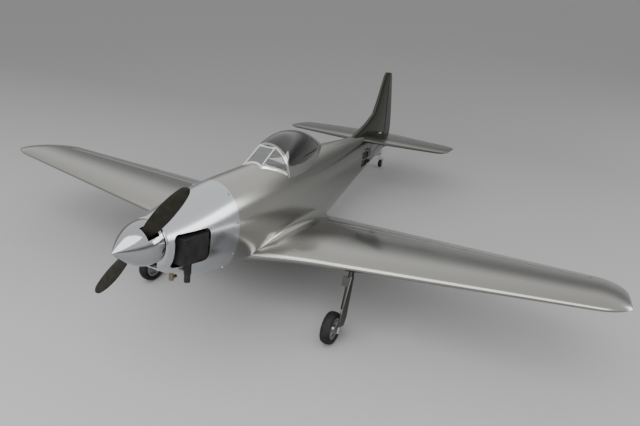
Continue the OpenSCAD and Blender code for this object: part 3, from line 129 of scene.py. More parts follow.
def ground(p):
    """Level-frame millimetres to metres in the frame on the floor."""
    x, y, z = p
    return Vector((
        x / 1000,
        (y * cos(STANCE) + z * sin(STANCE) + FRAME_SHIFT_Y) / 1000,
        (-y * sin(STANCE) + z * cos(STANCE) + FRAME_SHIFT_Z) / 1000,
    ))


def smooth(rows, c, y):
    """Smooth line through column c of a table of stations, at y."""
    i = 0
    while i < len(rows) - 2 and y >= rows[i + 1][0]:
        i += 1

    def slope(k):
        a, b = max(k - 1, 0), min(k + 1, len(rows) - 1)
        return (rows[b][c] - rows[a][c]) / (rows[b][0] - rows[a][0])

    h = rows[i + 1][0] - rows[i][0]
    t = (y - rows[i][0]) / h
    t2, t3 = t * t, t * t * t
    return (
        rows[i][c] * (2 * t3 - 3 * t2 + 1)
        + rows[i + 1][c] * (3 * t2 - 2 * t3)
        + h * (slope(i) * (t3 - 2 * t2 + t) + slope(i + 1) * (t3 - t2))
    )


def body_point(y, a, inset=0.0):
    """Point of a fuselage section at angle a from the top."""
    top = smooth(BODY_LINES, 1, y) - inset
    low = smooth(BODY_LINES, 2, y) + inset
    wide = smooth(BODY_LINES, 3, y) - inset
    mid = smooth(BODY_LINES, 4, y)
    s, c = sin(a), cos(a)
    p = 2 / (TOP_POWER if c > 0 else LOW_POWER)
    x = wide * (1 if s >= 0 else -1) * abs(s) ** p
    z = mid + ((top - mid) * c**p if c > 0 else (low - mid) * (-c) ** p)
    return (x, y, z)


def body_rings(stations, inset=0.0, n=112):
    return [[body_point(y, 2 * pi * i / n, inset) for i in range(n)] for y in stations]


def steps(a, b, n):
    """n equal steps from a to b, both ends included."""
    return [a + (b - a) * i / n for i in range(n + 1)]


# wing lines
def foil(u):
    """Half thickness of a four-digit aerofoil at share u of the chord, for a thickness of 1."""
    return 5 * (0.2969 * sqrt(u) - 0.126 * u - 0.3516 * u**2 + 0.2843 * u**3 - 0.1015 * u**4)


def wing_z(x):
    return WING_Z + x * tan(radians(DIHEDRAL))


def wing_te(x):
    return LE_ROOT + CHORD_ROOT + (SWEEP + CHORD_TIP - CHORD_ROOT) * x / HALF_SPAN


def wing_le(x):
    glove = GLOVE * (1 - x / GLOVE_SPAN) ** 2 if x < GLOVE_SPAN else 0
    return LE_ROOT + SWEEP * x / HALF_SPAN - glove


def wing_chord(x):
    return CHORD_ROOT + (CHORD_TIP - CHORD_ROOT) * x / HALF_SPAN


def wing_point(x, u, side):
    """Point of the wing at span x and share u of the chord: side 1 above, -1 below, 0 between."""
    q = max(0.0, TIP_END * (x - HALF_SPAN + TIP_LENGTH) / TIP_LENGTH)
    tip = sqrt(1 - q * q)
    le = wing_le(x) + TIP_TRIM_FRONT * (1 - tip)
    te = wing_te(x) - TIP_TRIM_REAR * (1 - tip)
    c = te - le
    middle = wing_z(x) + 4 * CAMBER * u * (1 - u) * c
    return (x, le + u * c, middle + side * THICKNESS * c * foil(u) * tip)


def wing_ring(x, m=40):
    us = [(1 - cos(pi * k / m)) / 2 for k in range(m + 1)]
    return (
        [wing_point(x, 0, 0)]
        + [wing_point(x, u, -1) for u in us[1:]]
        + [wing_point(x, u, 1) for u in reversed(us[1:])]
    )


def hinge_at(x):
    u = 1 - HINGE_SHARE
    c = wing_chord(x)
    return Vector((x, wing_te(x) - HINGE_SHARE * c, wing_z(x) + 4 * CAMBER * u * (1 - u) * c))


# the hinge line of flap and aileron: where it starts, then its own axes along, aft and up
H0 = hinge_at(0)
E1 = (hinge_at(HALF_SPAN) - H0).normalized()
E2 = (Vector((0, 1, 0)) - E1.y * E1).normalized()
E3 = E1.cross(E2)


def hinge_point(s, v, w):
    p = H0 + s * E1 + v * E2 + w * E3
    return (p.x, p.y, p.z)


def hinge_half(x):
    return THICKNESS * wing_chord(x) * foil(1 - HINGE_SHARE)


# mesh tools
def new_object(name, mesh):
    o = bpy.data.objects.new(name, mesh)
    bpy.context.collection.objects.link(o)
    return o


def loft_mesh(name, rings):
    """Closed loft through rings of level-frame points."""
    bm = bmesh.new()
    rows = [[bm.verts.new(ground(p)) for p in ring] for ring in rings]
    n = len(rows[0])
    for a, b in zip(rows, rows[1:]):
        for j in range(n):
            bm.faces.new((a[j], a[(j + 1) % n], b[(j + 1) % n], b[j]))
    bm.faces.new(list(reversed(rows[0])))
    bm.faces.new(rows[-1])
    bmesh.ops.recalc_face_normals(bm, faces=bm.faces)
    mesh = bpy.data.meshes.new(name)
    bm.to_mesh(mesh)
    bm.free()
    return mesh


def box_mesh(name, lo, hi):
    x0, y0, z0 = lo
    x1, y1, z1 = hi
    return loft_mesh(name, [
        [(x0, y, z0), (x1, y, z0), (x1, y, z1), (x0, y, z1)] for y in (y0, y1)
    ])


def cylinder_mesh(name, p, q, r, n=64):
    """Round bar from p to q, level frame."""
    p, q = Vector(p), Vector(q)
    d = (q - p).normalized()
    a = d.orthogonal().normalized()
    b = d.cross(a)
    turns = [2 * pi * i / n for i in range(n)]
    return loft_mesh(name, [
        [tuple(c + r * (cos(t) * a + sin(t) * b)) for t in turns] for c in (p, q)
    ])


def prism_mesh(name, outline, x0, x1):
    """Outline of (y, z) points drawn out between x0 and x1."""
    return loft_mesh(name, [[(x, y, z) for y, z in outline] for x in (x0, x1)])


def rounded(y0, y1, z0, z1, r, n=8):
    """Rectangle of (y, z) points with corners of radius r."""
    low_y, high_y, low_z, high_z = y0 + r, y1 - r, z0 + r, z1 - r
    corners = ((high_y, high_z), (low_y, high_z), (low_y, low_z), (high_y, low_z))
    pts = []
    for quarter, (cy, cz) in enumerate(corners):
        for k in range(n + 1):
            a = radians(90 * quarter + 90 * k / n)
            pts.append((cy + r * cos(a), cz + r * sin(a)))
    return pts


def boolean(obj, mesh, operation):
    """A new mesh: the object's own after an exact boolean with another."""
    tool = new_object("tool", mesh)
    mod = obj.modifiers.new("boolean", "BOOLEAN")
    mod.operation = operation
    mod.solver = "EXACT"
    mod.object = tool
    deps = bpy.context.evaluated_depsgraph_get()
    done = bpy.data.meshes.new_from_object(obj.evaluated_get(deps))
    obj.modifiers.clear()
    bpy.data.objects.remove(tool)
    return done


def cut(obj, *meshes):
    """Takes the meshes out of the object."""
    for m in meshes:
        old = obj.data
        obj.data = boolean(obj, m, "DIFFERENCE")
        bpy.data.meshes.remove(old)


# degrees: edges sharper than these stay crisp
CREASE = 32
SHEET_CREASE, FITTING_CREASE, TYRE_CREASE, PANE_CREASE = 24, 30, 40, 12
CANOPY_CREASE, BLADE_CREASE, SPINNER_CREASE = 40, 50, 40
# metres: points nearer than this become one
WELD = 2e-6


def soften(mesh, angle):
    """Smooth shading with the edges sharper than angle kept crisp."""
    bm = bmesh.new()
    bm.from_mesh(mesh)
    bmesh.ops.remove_doubles(bm, verts=bm.verts, dist=WELD)
    for f in bm.faces:
        f.smooth = True
    limit = radians(angle)
    for e in bm.edges:
        e.smooth = len(e.link_faces) == 2 and e.calc_face_angle(0.0) < limit
    bm.to_mesh(mesh)
    bm.free()


def mirrored(mesh, name):
    m = mesh.copy()
    m.name = name
    m.transform(Matrix.Diagonal((-1, 1, 1, 1)))
    m.flip_normals()
    return m


def finish_piece(obj, body, node, slot, angle=CREASE, material=None):
    """Shading and finish of a piece, the body it rides and the CAD node it stands for."""
    soften(obj.data, angle)
    obj.data.materials.clear()
    obj.data.materials.append(material or FINISH[slot])
    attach(obj, body)
    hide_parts(node)


# finishes
def principled(name, color, metallic, rough, coat=0.0, coat_rough=0.1):
    mat = bpy.data.materials.new(name)
    mat.use_nodes = True
    node = mat.node_tree.nodes["Principled BSDF"]
    node.inputs["Base Color"].default_value = (*color, 1)
    node.inputs["Metallic"].default_value = metallic
    node.inputs["Roughness"].default_value = rough
    node.inputs["Coat Weight"].default_value = coat
    node.inputs["Coat Roughness"].default_value = coat_rough
    return mat, node


def add_noise(mat, scale, detail, stretch=(1, 1, 1)):
    nt = mat.node_tree
    coords = nt.nodes.new("ShaderNodeTexCoord")
    place = nt.nodes.new("ShaderNodeMapping")
    place.inputs["Scale"].default_value = stretch
    noise = nt.nodes.new("ShaderNodeTexNoise")
    noise.inputs["Scale"].default_value = scale
    noise.inputs["Detail"].default_value = detail
    nt.links.new(coords.outputs["Object"], place.inputs["Vector"])
    nt.links.new(place.outputs["Vector"], noise.inputs["Vector"])
    return noise


def vary_color(mat, node, noise, a, b, lo=0.35, hi=0.65):
    nt = mat.node_tree
    ramp = nt.nodes.new("ShaderNodeValToRGB")
    ramp.color_ramp.elements[0].position = lo
    ramp.color_ramp.elements[1].position = hi
    ramp.color_ramp.elements[0].color = (*a, 1)
    ramp.color_ramp.elements[1].color = (*b, 1)
    nt.links.new(noise.outputs["Fac"], ramp.inputs["Fac"])
    nt.links.new(ramp.outputs["Color"], node.inputs["Base Color"])


# most values of a noise lie between these
NOISE_LOW, NOISE_HIGH = 0.3, 0.7


def vary_rough(mat, node, noise, lo, hi):
    nt = mat.node_tree
    span = nt.nodes.new("ShaderNodeMapRange")
    span.inputs["From Min"].default_value = NOISE_LOW
    span.inputs["From Max"].default_value = NOISE_HIGH
    span.inputs["To Min"].default_value = lo
    span.inputs["To Max"].default_value = hi
    nt.links.new(noise.outputs["Fac"], span.inputs["Value"])
    nt.links.new(span.outputs["Result"], node.inputs["Roughness"])


def add_bump(mat, node, noise, strength, distance):
    nt = mat.node_tree
    bump = nt.nodes.new("ShaderNodeBump")
    bump.inputs["Strength"].default_value = strength
    bump.inputs["Distance"].default_value = distance
    nt.links.new(noise.outputs["Fac"], bump.inputs["Height"])
    nt.links.new(bump.outputs["Normal"], node.inputs["Normal"])


def add_gradient(mat, front, rear, near=0.0, far=1.0):
    """A value that runs from near to far between two stations, and the coordinates it comes from."""
    nt = mat.node_tree
    place = nt.nodes.new("ShaderNodeTexCoord")
    split = nt.nodes.new("ShaderNodeSeparateXYZ")
    along = nt.nodes.new("ShaderNodeMapRange")
    along.inputs["From Min"].default_value = front
    along.inputs["From Max"].default_value = rear
    along.inputs["To Min"].default_value = near
    along.inputs["To Max"].default_value = far
    nt.links.new(place.outputs["Object"], split.inputs["Vector"])
    nt.links.new(split.outputs["Y"], along.inputs["Value"])
    return along, split


# metres along the aircraft between which the silver is painted darker, and how much a metre of span adds: painted
# shade standing in for the darker reflections towards tail and wing tips
PAINTED_SHADE_FRONT, PAINTED_SHADE_REAR, PAINTED_SHADE_SPAN = -0.40, 0.70, 0.30


def silver_paint(name, dark, light, rough, coat=0.5, edge=1.0):
    """Metal-flake paint under a clear coat with painted shade: its colour darkens towards tail and wing tips as
    painted darker reflections, very soft waviness.
    """
    mat, node = principled(name, light, 1.0, rough, coat=coat, coat_rough=0.10)
    node.inputs["Specular Tint"].default_value = (edge, edge, edge, 1)
    nt = mat.node_tree
    along, split = add_gradient(mat, PAINTED_SHADE_FRONT, PAINTED_SHADE_REAR)
    aside = nt.nodes.new("ShaderNodeMath")
    aside.operation = "ABSOLUTE"
    total = nt.nodes.new("ShaderNodeMath")
    total.operation = "MULTIPLY_ADD"
    total.inputs[1].default_value = PAINTED_SHADE_SPAN
    ramp = nt.nodes.new("ShaderNodeValToRGB")
    ramp.color_ramp.elements[0].color = (*light, 1)
    ramp.color_ramp.elements[1].color = (*dark, 1)
    nt.links.new(split.outputs["X"], aside.inputs[0])
    nt.links.new(aside.outputs["Value"], total.inputs[0])
    nt.links.new(along.outputs["Result"], total.inputs[2])
    nt.links.new(total.outputs["Value"], ramp.inputs["Fac"])
    nt.links.new(ramp.outputs["Color"], node.inputs["Base Color"])
    vary_rough(mat, node, add_noise(mat, 3.0, 2.0), rough - 0.025, rough + 0.025)
    add_bump(mat, node, add_noise(mat, 6.0, 1.0), 0.04, 0.004)
    return mat


# lightest and darkest patches of a plain surface, as shares of its colour, and a lift for near-black ones
PATCH_LIGHT, PATCH_DARK, PATCH_LIFT = 1.18, 0.85, 0.006


def plain(name, color, metallic, rough, grain, bump, dust=0.0, shine=0.5):
    """Cast, moulded or machined surface with a fine grain and a little unevenness."""
    mat, node = principled(name, color, metallic, rough)
    node.inputs["Specular IOR Level"].default_value = shine
    light = tuple(min(1, c * PATCH_LIGHT + PATCH_LIFT + dust) for c in color)
    dark = tuple(c * PATCH_DARK for c in color)
    vary_color(mat, node, add_noise(mat, 45.0, 4.0), dark, light)
    grit = add_noise(mat, grain, 2.0)
    vary_rough(mat, node, grit, max(rough - 0.08, 0.03), rough + 0.08)
    add_bump(mat, node, grit, bump, 0.0004)
    return mat


def brushed(name, color, rough, stretch):
    """Bare metal with fine lines, drawn out by stretch."""
    mat, node = principled(name, color, 1.0, rough)
    lines = add_noise(mat, 300.0, 2.0, stretch)
    vary_rough(mat, node, lines, rough - 0.08, rough + 0.1)
    add_bump(mat, node, lines, 0.06, 0.0003)
    return mat


def glazing(name, tint, clear, coat):
    """Moulded acrylic, clear, or with a dark tint that is painted shade of what lies behind it, with very slight
    waviness.
    """
    mat, node = principled(name, tint, 0.0, 0.04, coat=coat, coat_rough=0.03)
    node.inputs["Transmission Weight"].default_value = clear
    node.inputs["IOR"].default_value = 1.5
    node.inputs["Coat IOR"].default_value = 1.7
    wave = add_noise(mat, 9.0, 1.0)
    vary_rough(mat, node, wave, 0.03, 0.06)
    add_bump(mat, node, wave, 0.04, 0.002)
    return mat


def wood(name):
    mat, node = principled(name, (0.6, 0.44, 0.27), 0.0, 0.6)
    grain = add_noise(mat, 30.0, 6.0, (1, 12, 12))
    vary_color(mat, node, grain, (0.46, 0.32, 0.18), (0.7, 0.54, 0.34))
    add_bump(mat, node, grain, 0.1, 0.0005)
    return mat


# metres along the floor between which the backdrop's painted light fades to its plain tone
PAINTED_LIGHT_FRONT, PAINTED_LIGHT_REAR = -1.1, 1.4


def paper(name, near, far):
    """Plain matt backdrop, painted a little lighter at the front of the stage: a painted pool of light."""
    mat, node = principled(name, (far, far, far), 0.0, 0.9)
    along, _ = add_gradient(mat, PAINTED_LIGHT_FRONT, PAINTED_LIGHT_REAR, near, far)
    mat.node_tree.links.new(along.outputs["Result"], node.inputs["Base Color"])
    return mat


# one finish for each slot of the record
FINISH = {
    # silver_paint and cowl_silver run from their light to their dark colour as painted shade: darker reflections
    # towards tail and wing tips
    "silver_paint": silver_paint("silver_paint", (0.046, 0.046, 0.036), (0.345, 0.342, 0.32), 0.22),
    "cowl_silver": silver_paint("cowl_silver", (0.46, 0.475, 0.50), (0.48, 0.495, 0.525), 0.22),
    "chrome": brushed("chrome", (0.37, 0.375, 0.39), 0.08, (1, 1, 1)),
    "prop_plastic": plain("prop_plastic", (0.010, 0.009, 0.005), 0.0, 0.42, 500.0, 0.06, shine=0.18),
    "alloy": brushed("alloy", (0.30, 0.305, 0.31), 0.36, (1, 8, 1)),
    "steel": brushed("steel", (0.34, 0.345, 0.36), 0.30, (1, 1, 8)),
    "brass": brushed("brass", (0.22, 0.19, 0.13), 0.38, (8, 1, 1)),
    "black_alloy": plain("black_alloy", (0.012, 0.012, 0.012), 0.2, 0.42, 900.0, 0.25, shine=0.3),
    "black_plastic": plain("black_plastic", (0.014, 0.014, 0.015), 0.0, 0.45, 700.0, 0.2),
    "tyre": plain("tyre", (0.006, 0.006, 0.006), 0.0, 0.75, 320.0, 0.35, dust=0.002, shine=0.25),
    # the canopy's near-black tint is painted shade: the shaded cockpit behind clear glass
    "glazing": glazing("glazing", (0.016, 0.018, 0.017), 0.7, 0.35),
    "plywood": wood("plywood"),
    "tank_plastic": plain("tank_plastic", (0.72, 0.72, 0.66), 0.0, 0.4, 300.0, 0.05),
    "cockpit_grey": plain("cockpit_grey", (0.11, 0.115, 0.11), 0.0, 0.65, 500.0, 0.2),
}
# finishes of single pieces that stand out from the rest of their slot: painted shade darkens the gear doors, legs,
# fin and rudder, painted highlight lightens the windshield frame
DOOR_PAINTED_SHADE, FRAME_PAINTED_HIGHLIGHT, FIN_PAINTED_SHADE = (0.085, 0.085, 0.07), (0.72, 0.72, 0.69), (0.055, 0.056, 0.041)
CLEAR_PANES = glazing("clear_panes", (0.62, 0.65, 0.64), 0.92, 0.2)
# the gear doors' silver is painted darker: painted shade
DOOR_SHADED_PAINT = silver_paint("door_painted_shade", DOOR_PAINTED_SHADE, DOOR_PAINTED_SHADE, 0.30, coat=0.25, edge=0.6)
# the windshield frame's silver is painted lighter: painted highlight
FRAME_HIGHLIGHT_PAINT = silver_paint("frame_painted_highlight", FRAME_PAINTED_HIGHLIGHT, FRAME_PAINTED_HIGHLIGHT, 0.22)
# the gear legs' metal is a darker copy of the alloy: painted shade
LEG_SHADED_METAL = brushed("leg_painted_shade", (0.055, 0.055, 0.055), 0.42, (1, 1, 8))
# the fin's and rudder's silver is painted darker: painted shade
FIN_SHADED_PAINT = silver_paint("fin_painted_shade", FIN_PAINTED_SHADE, FIN_PAINTED_SHADE, 0.20, coat=0.35, edge=0.62)
for part in frame["record"]["subparts"]:
    mesh = frame["nodes"][part["node"]].data
    mesh.materials.clear()
    mesh.materials.append(FINISH[part["material_slot"]])


def piece(name, mesh, body, node, slot, angle=CREASE):
    finish_piece(new_object(name, mesh), body, node, slot, angle)


def smooth_copy(node, slot, angle, material=None):
    """The CAD node's own mesh with rounded shading."""
    source = frame["nodes"][node]
    skin = new_object(node + "_skin", source.data.copy())
    finish_piece(skin, source["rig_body"], node, slot, angle, material)


def joined(name, meshes):
    """One mesh out of several; those that no object uses are removed."""
    bm = bmesh.new()
    for m in meshes:
        bm.from_mesh(m)
        if m.users == 0:
            bpy.data.meshes.remove(m)
    mesh = bpy.data.meshes.new(name)
    bm.to_mesh(mesh)
    bm.free()
    return mesh


# fuselage: its openings, as low and high corners of boxes; the tail servos sit behind those in the left side
OPENINGS = {
    "cockpit": ((-43, 506, 60), (43, 796, 220)),
    "arm_slot": ((11, 1406, 26), (71, 1444, 42)),
    "upper_window": ((20, 1302, 56), (80, 1398, 86)),
    "lower_window": ((20, 1302, 20), (80, 1398, 50)),
}
SERVO_HOLE, SERVO_HOLE_R = ((20, 1385, 96), (80, 1385, 96)), 7
# the gap behind the cowl, the rear end of the open front bay, the inner end of the wing stubs
COWL_GAP, BAY_END, STUB_INNER = 0.5, 340, 20
body_ys = steps(COWL_REAR + COWL_GAP, TAIL_POST, 130)
fuselage = new_object("fuselage_skin", loft_mesh("fuselage_skin", body_rings(body_ys)))
cut(
    fuselage,
    loft_mesh("front", body_rings(steps(COWL_REAR - 1, BAY_END, 10), SKIN)),
    box_mesh("cockpit", *OPENINGS["cockpit"]),
    cylinder_mesh("servo_hole", *SERVO_HOLE, SERVO_HOLE_R),
    *(box_mesh(hole, *OPENINGS[hole]) for hole in ("arm_slot", "upper_window", "lower_window")),
)
stub = loft_mesh("stub", [wing_ring(x) for x in steps(STUB_INNER, WING_JOINT, 12)])


def body_half(y, z):
    """Half width of the fuselage at station y and height z."""
    top, low, wide, mid = (smooth(BODY_LINES, c, y) for c in (1, 2, 3, 4))
    t, p = ((z - mid) / (top - mid), TOP_POWER) if z > mid else ((z - mid) / (low - mid), LOW_POWER)
    return wide * (1 - min(t, 1) ** p) ** (1 / p)


def wing_top(x, y):
    """Height of the wing's upper side at span x and station y."""
    le, te = wing_point(x, 0, 0)[1], wing_te(x)
    return wing_point(x, min(max((y - le) / (te - le), 0), 1), 1)[2]


def crossing(below, lo, hi):
    """Where below turns from true to false between lo and hi."""
    for _ in range(40):
        mid = (lo + hi) / 2
        lo, hi = (mid, hi) if below(mid) else (lo, mid)
    return lo


# the root fillet: its ends, its reach in front, what that grows by towards the rear, its rise as a share of its reach
FILLET_FRONT, FILLET_REAR = 392, 946
FILLET_R, FILLET_GROWTH, FILLET_RISE = 28, 22, 1.15
# the share of it that is left at its ends, and the lengths it grows and tapers over there
FILLET_LEAST, FILLET_RUN_IN, FILLET_RUN_OUT = 0.08, 75, 60
# how far its edges stand proud of the skins, how deep its back is sunk, its thickness at the wing
FILLET_PROUD, FILLET_SUNK, FILLET_EDGE = 0.1, 2, 1.5
# the corner of wing and fuselage lies between these half widths
FILLET_SEARCH = (20.0, 110.0)


def root_fillet(rows=64, arc=10):
    """Soft fillet in the corner between the wing's upper side and the fuselage."""
    rings = []
    for y in steps(FILLET_FRONT, FILLET_REAR, rows):
        x = crossing(lambda v: body_half(y, wing_top(v, y)) > v, *FILLET_SEARCH)
        t = (y - FILLET_FRONT) / (FILLET_REAR - FILLET_FRONT)
        run_in = FILLET_LEAST + (y - FILLET_FRONT) / FILLET_RUN_IN
        run_out = FILLET_LEAST + (FILLET_REAR - y) / FILLET_RUN_OUT
        r = (FILLET_R + FILLET_GROWTH * t) * min(1, run_in, run_out)
        z = wing_top(x, y)
        high = z + FILLET_RISE * r
        a, c = (x + r, wing_top(x + r, y) + FILLET_PROUD), (x, z)
        b = (body_half(y, high) + FILLET_PROUD, high)
        ring = []
        for f in steps(0, 1, arc):
            shares = ((1 - f) ** 2, 2 * f * (1 - f), f**2)
            ring.append(tuple(sum(w * q[i] for w, q in zip(shares, (a, c, b))) for i in (0, 1)))
        ring.append((b[0] - FILLET_SUNK, b[1]))
        ring.append((x - FILLET_SUNK, z - FILLET_SUNK))
        ring.append((a[0], a[1] - FILLET_EDGE))
        rings.append([(px, y, pz) for px, pz in ring])
    return loft_mesh("fillet", rings)


fillet = root_fillet()
fuselage.data = joined(
    "fuselage_skin",
    [fuselage.data, mirrored(stub, "stub_right"), stub, mirrored(fillet, "fillet_right"), fillet],
)
finish_piece(fuselage, "airframe", "fuselage_shell", "silver_paint")

# the cowl's front lip is rolled in a little: distance behind its front, inset
LIP = ((0, 3.0), (0.5, 1.7), (1.4, 0.7), (3, 0))
LIP_END = COWL_FRONT + LIP[-1][0]
# its openings: for the shaft, under the shaft, for the muffler, for the exhaust stub and below
NOSE_HOLE, NOSE_HOLE_R = ((0, 0, 0), (0, 40, 0)), 46
CHIN = ((-32, 0, -62), (32, 40, -20))
CHEEK, CHEEK_CORNER, CHEEK_REACH = (30, 142, -66, 24), 14, 140
STUB_HOLE, STUB_HOLE_R = ((64, 84, -115), (64, 84, -35)), 10.5
UNDERSIDE = ((-34, 60, -220), (34, 140, -70))
cowl_rings = [body_rings([COWL_FRONT + back], inset)[0] for back, inset in LIP]
cowl_rings += body_rings(steps(LIP_END, COWL_REAR, 60)[1:])
cowl = new_object("cowl_skin", loft_mesh("cowl_skin", cowl_rings))
cut(
    cowl,
    loft_mesh("inside", body_rings(steps(LIP_END, COWL_REAR + 1, 20), SKIN)),
    cylinder_mesh("nose_hole", *NOSE_HOLE, NOSE_HOLE_R, 96),
    box_mesh("chin", *CHIN),
    prism_mesh("cheek", rounded(*CHEEK, CHEEK_CORNER), 0, CHEEK_REACH),
    cylinder_mesh("stub_hole", *STUB_HOLE, STUB_HOLE_R),
    box_mesh("underside", *UNDERSIDE),
)
finish_piece(cowl, "airframe", "engine_cowl", "cowl_silver")

# wings
# the folded leg: its pivot, its length, the way it points and the way across it
WING_TILT = radians(DIHEDRAL)
N_WING = Vector((-sin(WING_TILT), 0, cos(WING_TILT)))
PIVOT_DROP = 12
PIVOT = Vector((GEAR_TRACK, GEAR_PIVOT_Y, wing_z(GEAR_TRACK) - PIVOT_DROP))
LEG = (Vector((GEAR_TRACK, GEAR_AXLE_Y, GEAR_AXLE_Z)) - PIVOT).length
STOW_SWEEP = radians(15)
INWARD = Vector((-cos(WING_TILT), 0, -sin(WING_TILT)))
STOW = cos(STOW_SWEEP) * INWARD + sin(STOW_SWEEP) * Vector((0, 1, 0))
STOW_AFT = (-N_WING).cross(STOW)
# the wheel beside its leg, radius of its well, spring travel, lower edge of the door and the gap around it
WHEEL_INSET, WELL_R, OLEO = 24, MAIN_R + 13.5, 8
DOOR_LOW, DOOR_GAP = LEG - 18, 4


def stowed(x, y, z):
    """Point of the folded leg: x down out of the wing, y across the leg, z from the pivot, negative to the wheel."""
    p = PIVOT + x * (-N_WING) + y * STOW_AFT + z * (-STOW)
    return (p.x, p.y, p.z)


def door_outline(g):
    """Corners (y, z) of the gear door with a gap g around it."""
    return [
        (-26 - g, -22 + g),
        (-4 + g, -22 + g),
        (12 + g, -DOOR_LOW + 24 - g / 2),
        (4 + g / 2, -DOOR_LOW - g),
        (-38 - g, -DOOR_LOW - g),
        (-40 - g, -DOOR_LOW + 14),
    ]


# the wheel well from its ceiling outwards: depth from the middle of the wheel, radius
WELL_LINES = ((-22.8, 12), (-16.4, MAIN_R + 1.5), (-12, MAIN_R + 5), (0, WELL_R), (70, WELL_R))
# how deep and how far out the two slots are cut; the depths differ so that no two cutters share a wall
DOOR_SLOT, LEG_SLOT = (-26, 64), (-26.1, 70)
LEG_SLOT_CORNERS = [(-17, -DOOR_LOW), (14, -DOOR_LOW), (14, 15), (-17, 15)]


def well_meshes():
    """Room for the wheel, its door and the leg: one turned cutter and two straight ones."""
    reach = LEG - OLEO / 2
    turns = [2 * pi * k / 64 for k in range(64)]
    rings = []
    for depth, r in WELL_LINES:
        x = depth - WHEEL_INSET
        rings.append([stowed(x, r * cos(t), -reach + r * sin(t)) for t in turns])
    return [
        loft_mesh("well", rings),
        loft_mesh("door_slot", [[stowed(x, y, z) for y, z in door_outline(DOOR_GAP)] for x in DOOR_SLOT]),
        loft_mesh("leg_slot", [[stowed(x, y, z) for y, z in LEG_SLOT_CORNERS] for x in LEG_SLOT]),
    ]


# more than the chord behind the hinge, and more than the wing's half thickness there
BEYOND_TE, BEYOND_SKIN = 300, 90


def pocket_mesh():
    """Room for flap and aileron behind the wing."""
    s0, s1 = FLAP_INNER / E1.x - SURFACE_GAP, AILERON_OUTER / E1.x + SURFACE_GAP
    low, high = -BEYOND_SKIN, BEYOND_SKIN
    rings = []
    for s, x in ((s0, FLAP_INNER), (s1, AILERON_OUTER)):
        a = hinge_half(x) + SURFACE_GAP
        corners = ((-a, low), (BEYOND_TE, low), (BEYOND_TE, high), (-a, high))
        rings.append([hinge_point(s, v, w) for v, w in corners])
    return loft_mesh("pocket", rings)


# the aileron's link: its place along the hinge, the servo arm ahead of the hinge and the slot the arm swings in
LINK_X, LINK_BACK = 800, 72
LINK_S = LINK_X / E1.x
ARM_SLOT_ENDS = (-12, 5)
ARM_SLOT_CORNERS = ((-20, -60), (20, -60), (20, 6.5), (-20, 6.5))
TIP_ROWS = 22
tip_start = HALF_SPAN - TIP_LENGTH
wing_xs = (
    steps(PANEL_ROOT, GLOVE_SPAN, 24)
    + steps(GLOVE_SPAN, tip_start, 44)[1:]
    + [tip_start + TIP_LENGTH * sin(pi / 2 * k / TIP_ROWS) for k in range(1, TIP_ROWS + 1)]
)
wing = new_object("wing_left_skin", loft_mesh("wing_left_skin", [wing_ring(x, 44) for x in wing_xs]))
arm_slot = [
    [hinge_point(LINK_S + s, -LINK_BACK + v, w) for v, w in ARM_SLOT_CORNERS] for s in ARM_SLOT_ENDS
]
cut(wing, pocket_mesh(), *well_meshes(), loft_mesh("arm_slot", arm_slot))
right_mesh = mirrored(wing.data, "wing_right_skin")
finish_piece(wing, "airframe", "wing_left", "silver_paint")
piece("wing_right_skin", right_mesh, "airframe", "wing_right", "silver_paint")


# radius of the round nose, as a share of the wing's half thickness at the hinge
NOSE_SHARE = 0.96


def surface_rings(x0, x1, n, nose_steps=16, skin_steps=14):
    """Rings of a flap or aileron, square to its hinge: round nose, then the wing's own lower and upper skins."""
    s0, s1 = x0 / E1.x + SURFACE_GAP / 2, x1 / E1.x - SURFACE_GAP / 2
    rings = []
    for s in steps(s0, s1, n):
        nose = NOSE_SHARE * hinge_half(s * E1.x)
        base = H0 + s * E1

        def share(v):
            p = base + v * E2
            le = wing_le(p.x)
            return (p.y - le) / (wing_te(p.x) - le)

        def skin_w(v, side):
            p = base + v * E2
            return (wing_point(p.x, min(share(v), 1), side)[2] - p.z) / E3.z

        end = crossing(lambda v: share(v) < 1, 0.0, float(BEYOND_TE))
        turns = [pi / 2 + pi * k / nose_steps for k in range(nose_steps + 1)]
        ring = [hinge_point(s, nose * cos(a), nose * sin(a)) for a in turns]
        vs = [end * k / skin_steps for k in range(1, skin_steps + 1)]
        ring += [hinge_point(s, v, skin_w(v, -1)) for v in vs]
        ring += [hinge_point(s, v, skin_w(v, 1)) for v in reversed(vs)]
        rings.append(ring)
    return rings


# the horn: length from the hinge to its pin, its two sides, the pin's ends and radius
CRANK = 28
HORN_SIDES = (-1.5, 1.5)
HORN_PIN, HORN_PIN_R = (-6.5, 0), 1


def horn_mesh(s, deep):
    """The aileron's horn, from inside its skin down to the rod, and the pin for the rod's eye."""
    outline = [(0, -deep), (14, -deep), (3.5, -CRANK - 3), (-3.5, -CRANK - 3), (-3.5, -CRANK + 4)]
    plate = loft_mesh("horn", [[hinge_point(s + d, v, w) for v, w in outline] for d in HORN_SIDES])
    pin_ends = [hinge_point(s + d, 0, -CRANK) for d in HORN_PIN]
    pin = cylinder_mesh("pin", *pin_ends, HORN_PIN_R, 24)
    return [plate, pin]


HORN_ROOT = 8
FLAP_ROD, FLAP_ROD_R = (34, 114), 2.5
aileron = loft_mesh("aileron", surface_rings(FLAP_OUTER, AILERON_OUTER, 24))
aileron_mesh = joined("aileron_left_skin", [aileron] + horn_mesh(LINK_S, HORN_ROOT))
rod_ends = [hinge_point(x / E1.x, 0, 0) for x in FLAP_ROD]
flap_rod = cylinder_mesh("rod", *rod_ends, FLAP_ROD_R, 24)
flap = loft_mesh("flap", surface_rings(FLAP_INNER, FLAP_OUTER, 36))
flap_mesh = joined("flap_left_skin", [flap, flap_rod])
for kind, left in (("aileron", aileron_mesh), ("flap", flap_mesh)):
    right = mirrored(left, kind + "_right_skin")
    piece(kind + "_left_skin", left, kind + "_left", kind + "_left", "silver_paint")
    piece(kind + "_right_skin", right, kind + "_right", kind + "_right", "silver_paint")

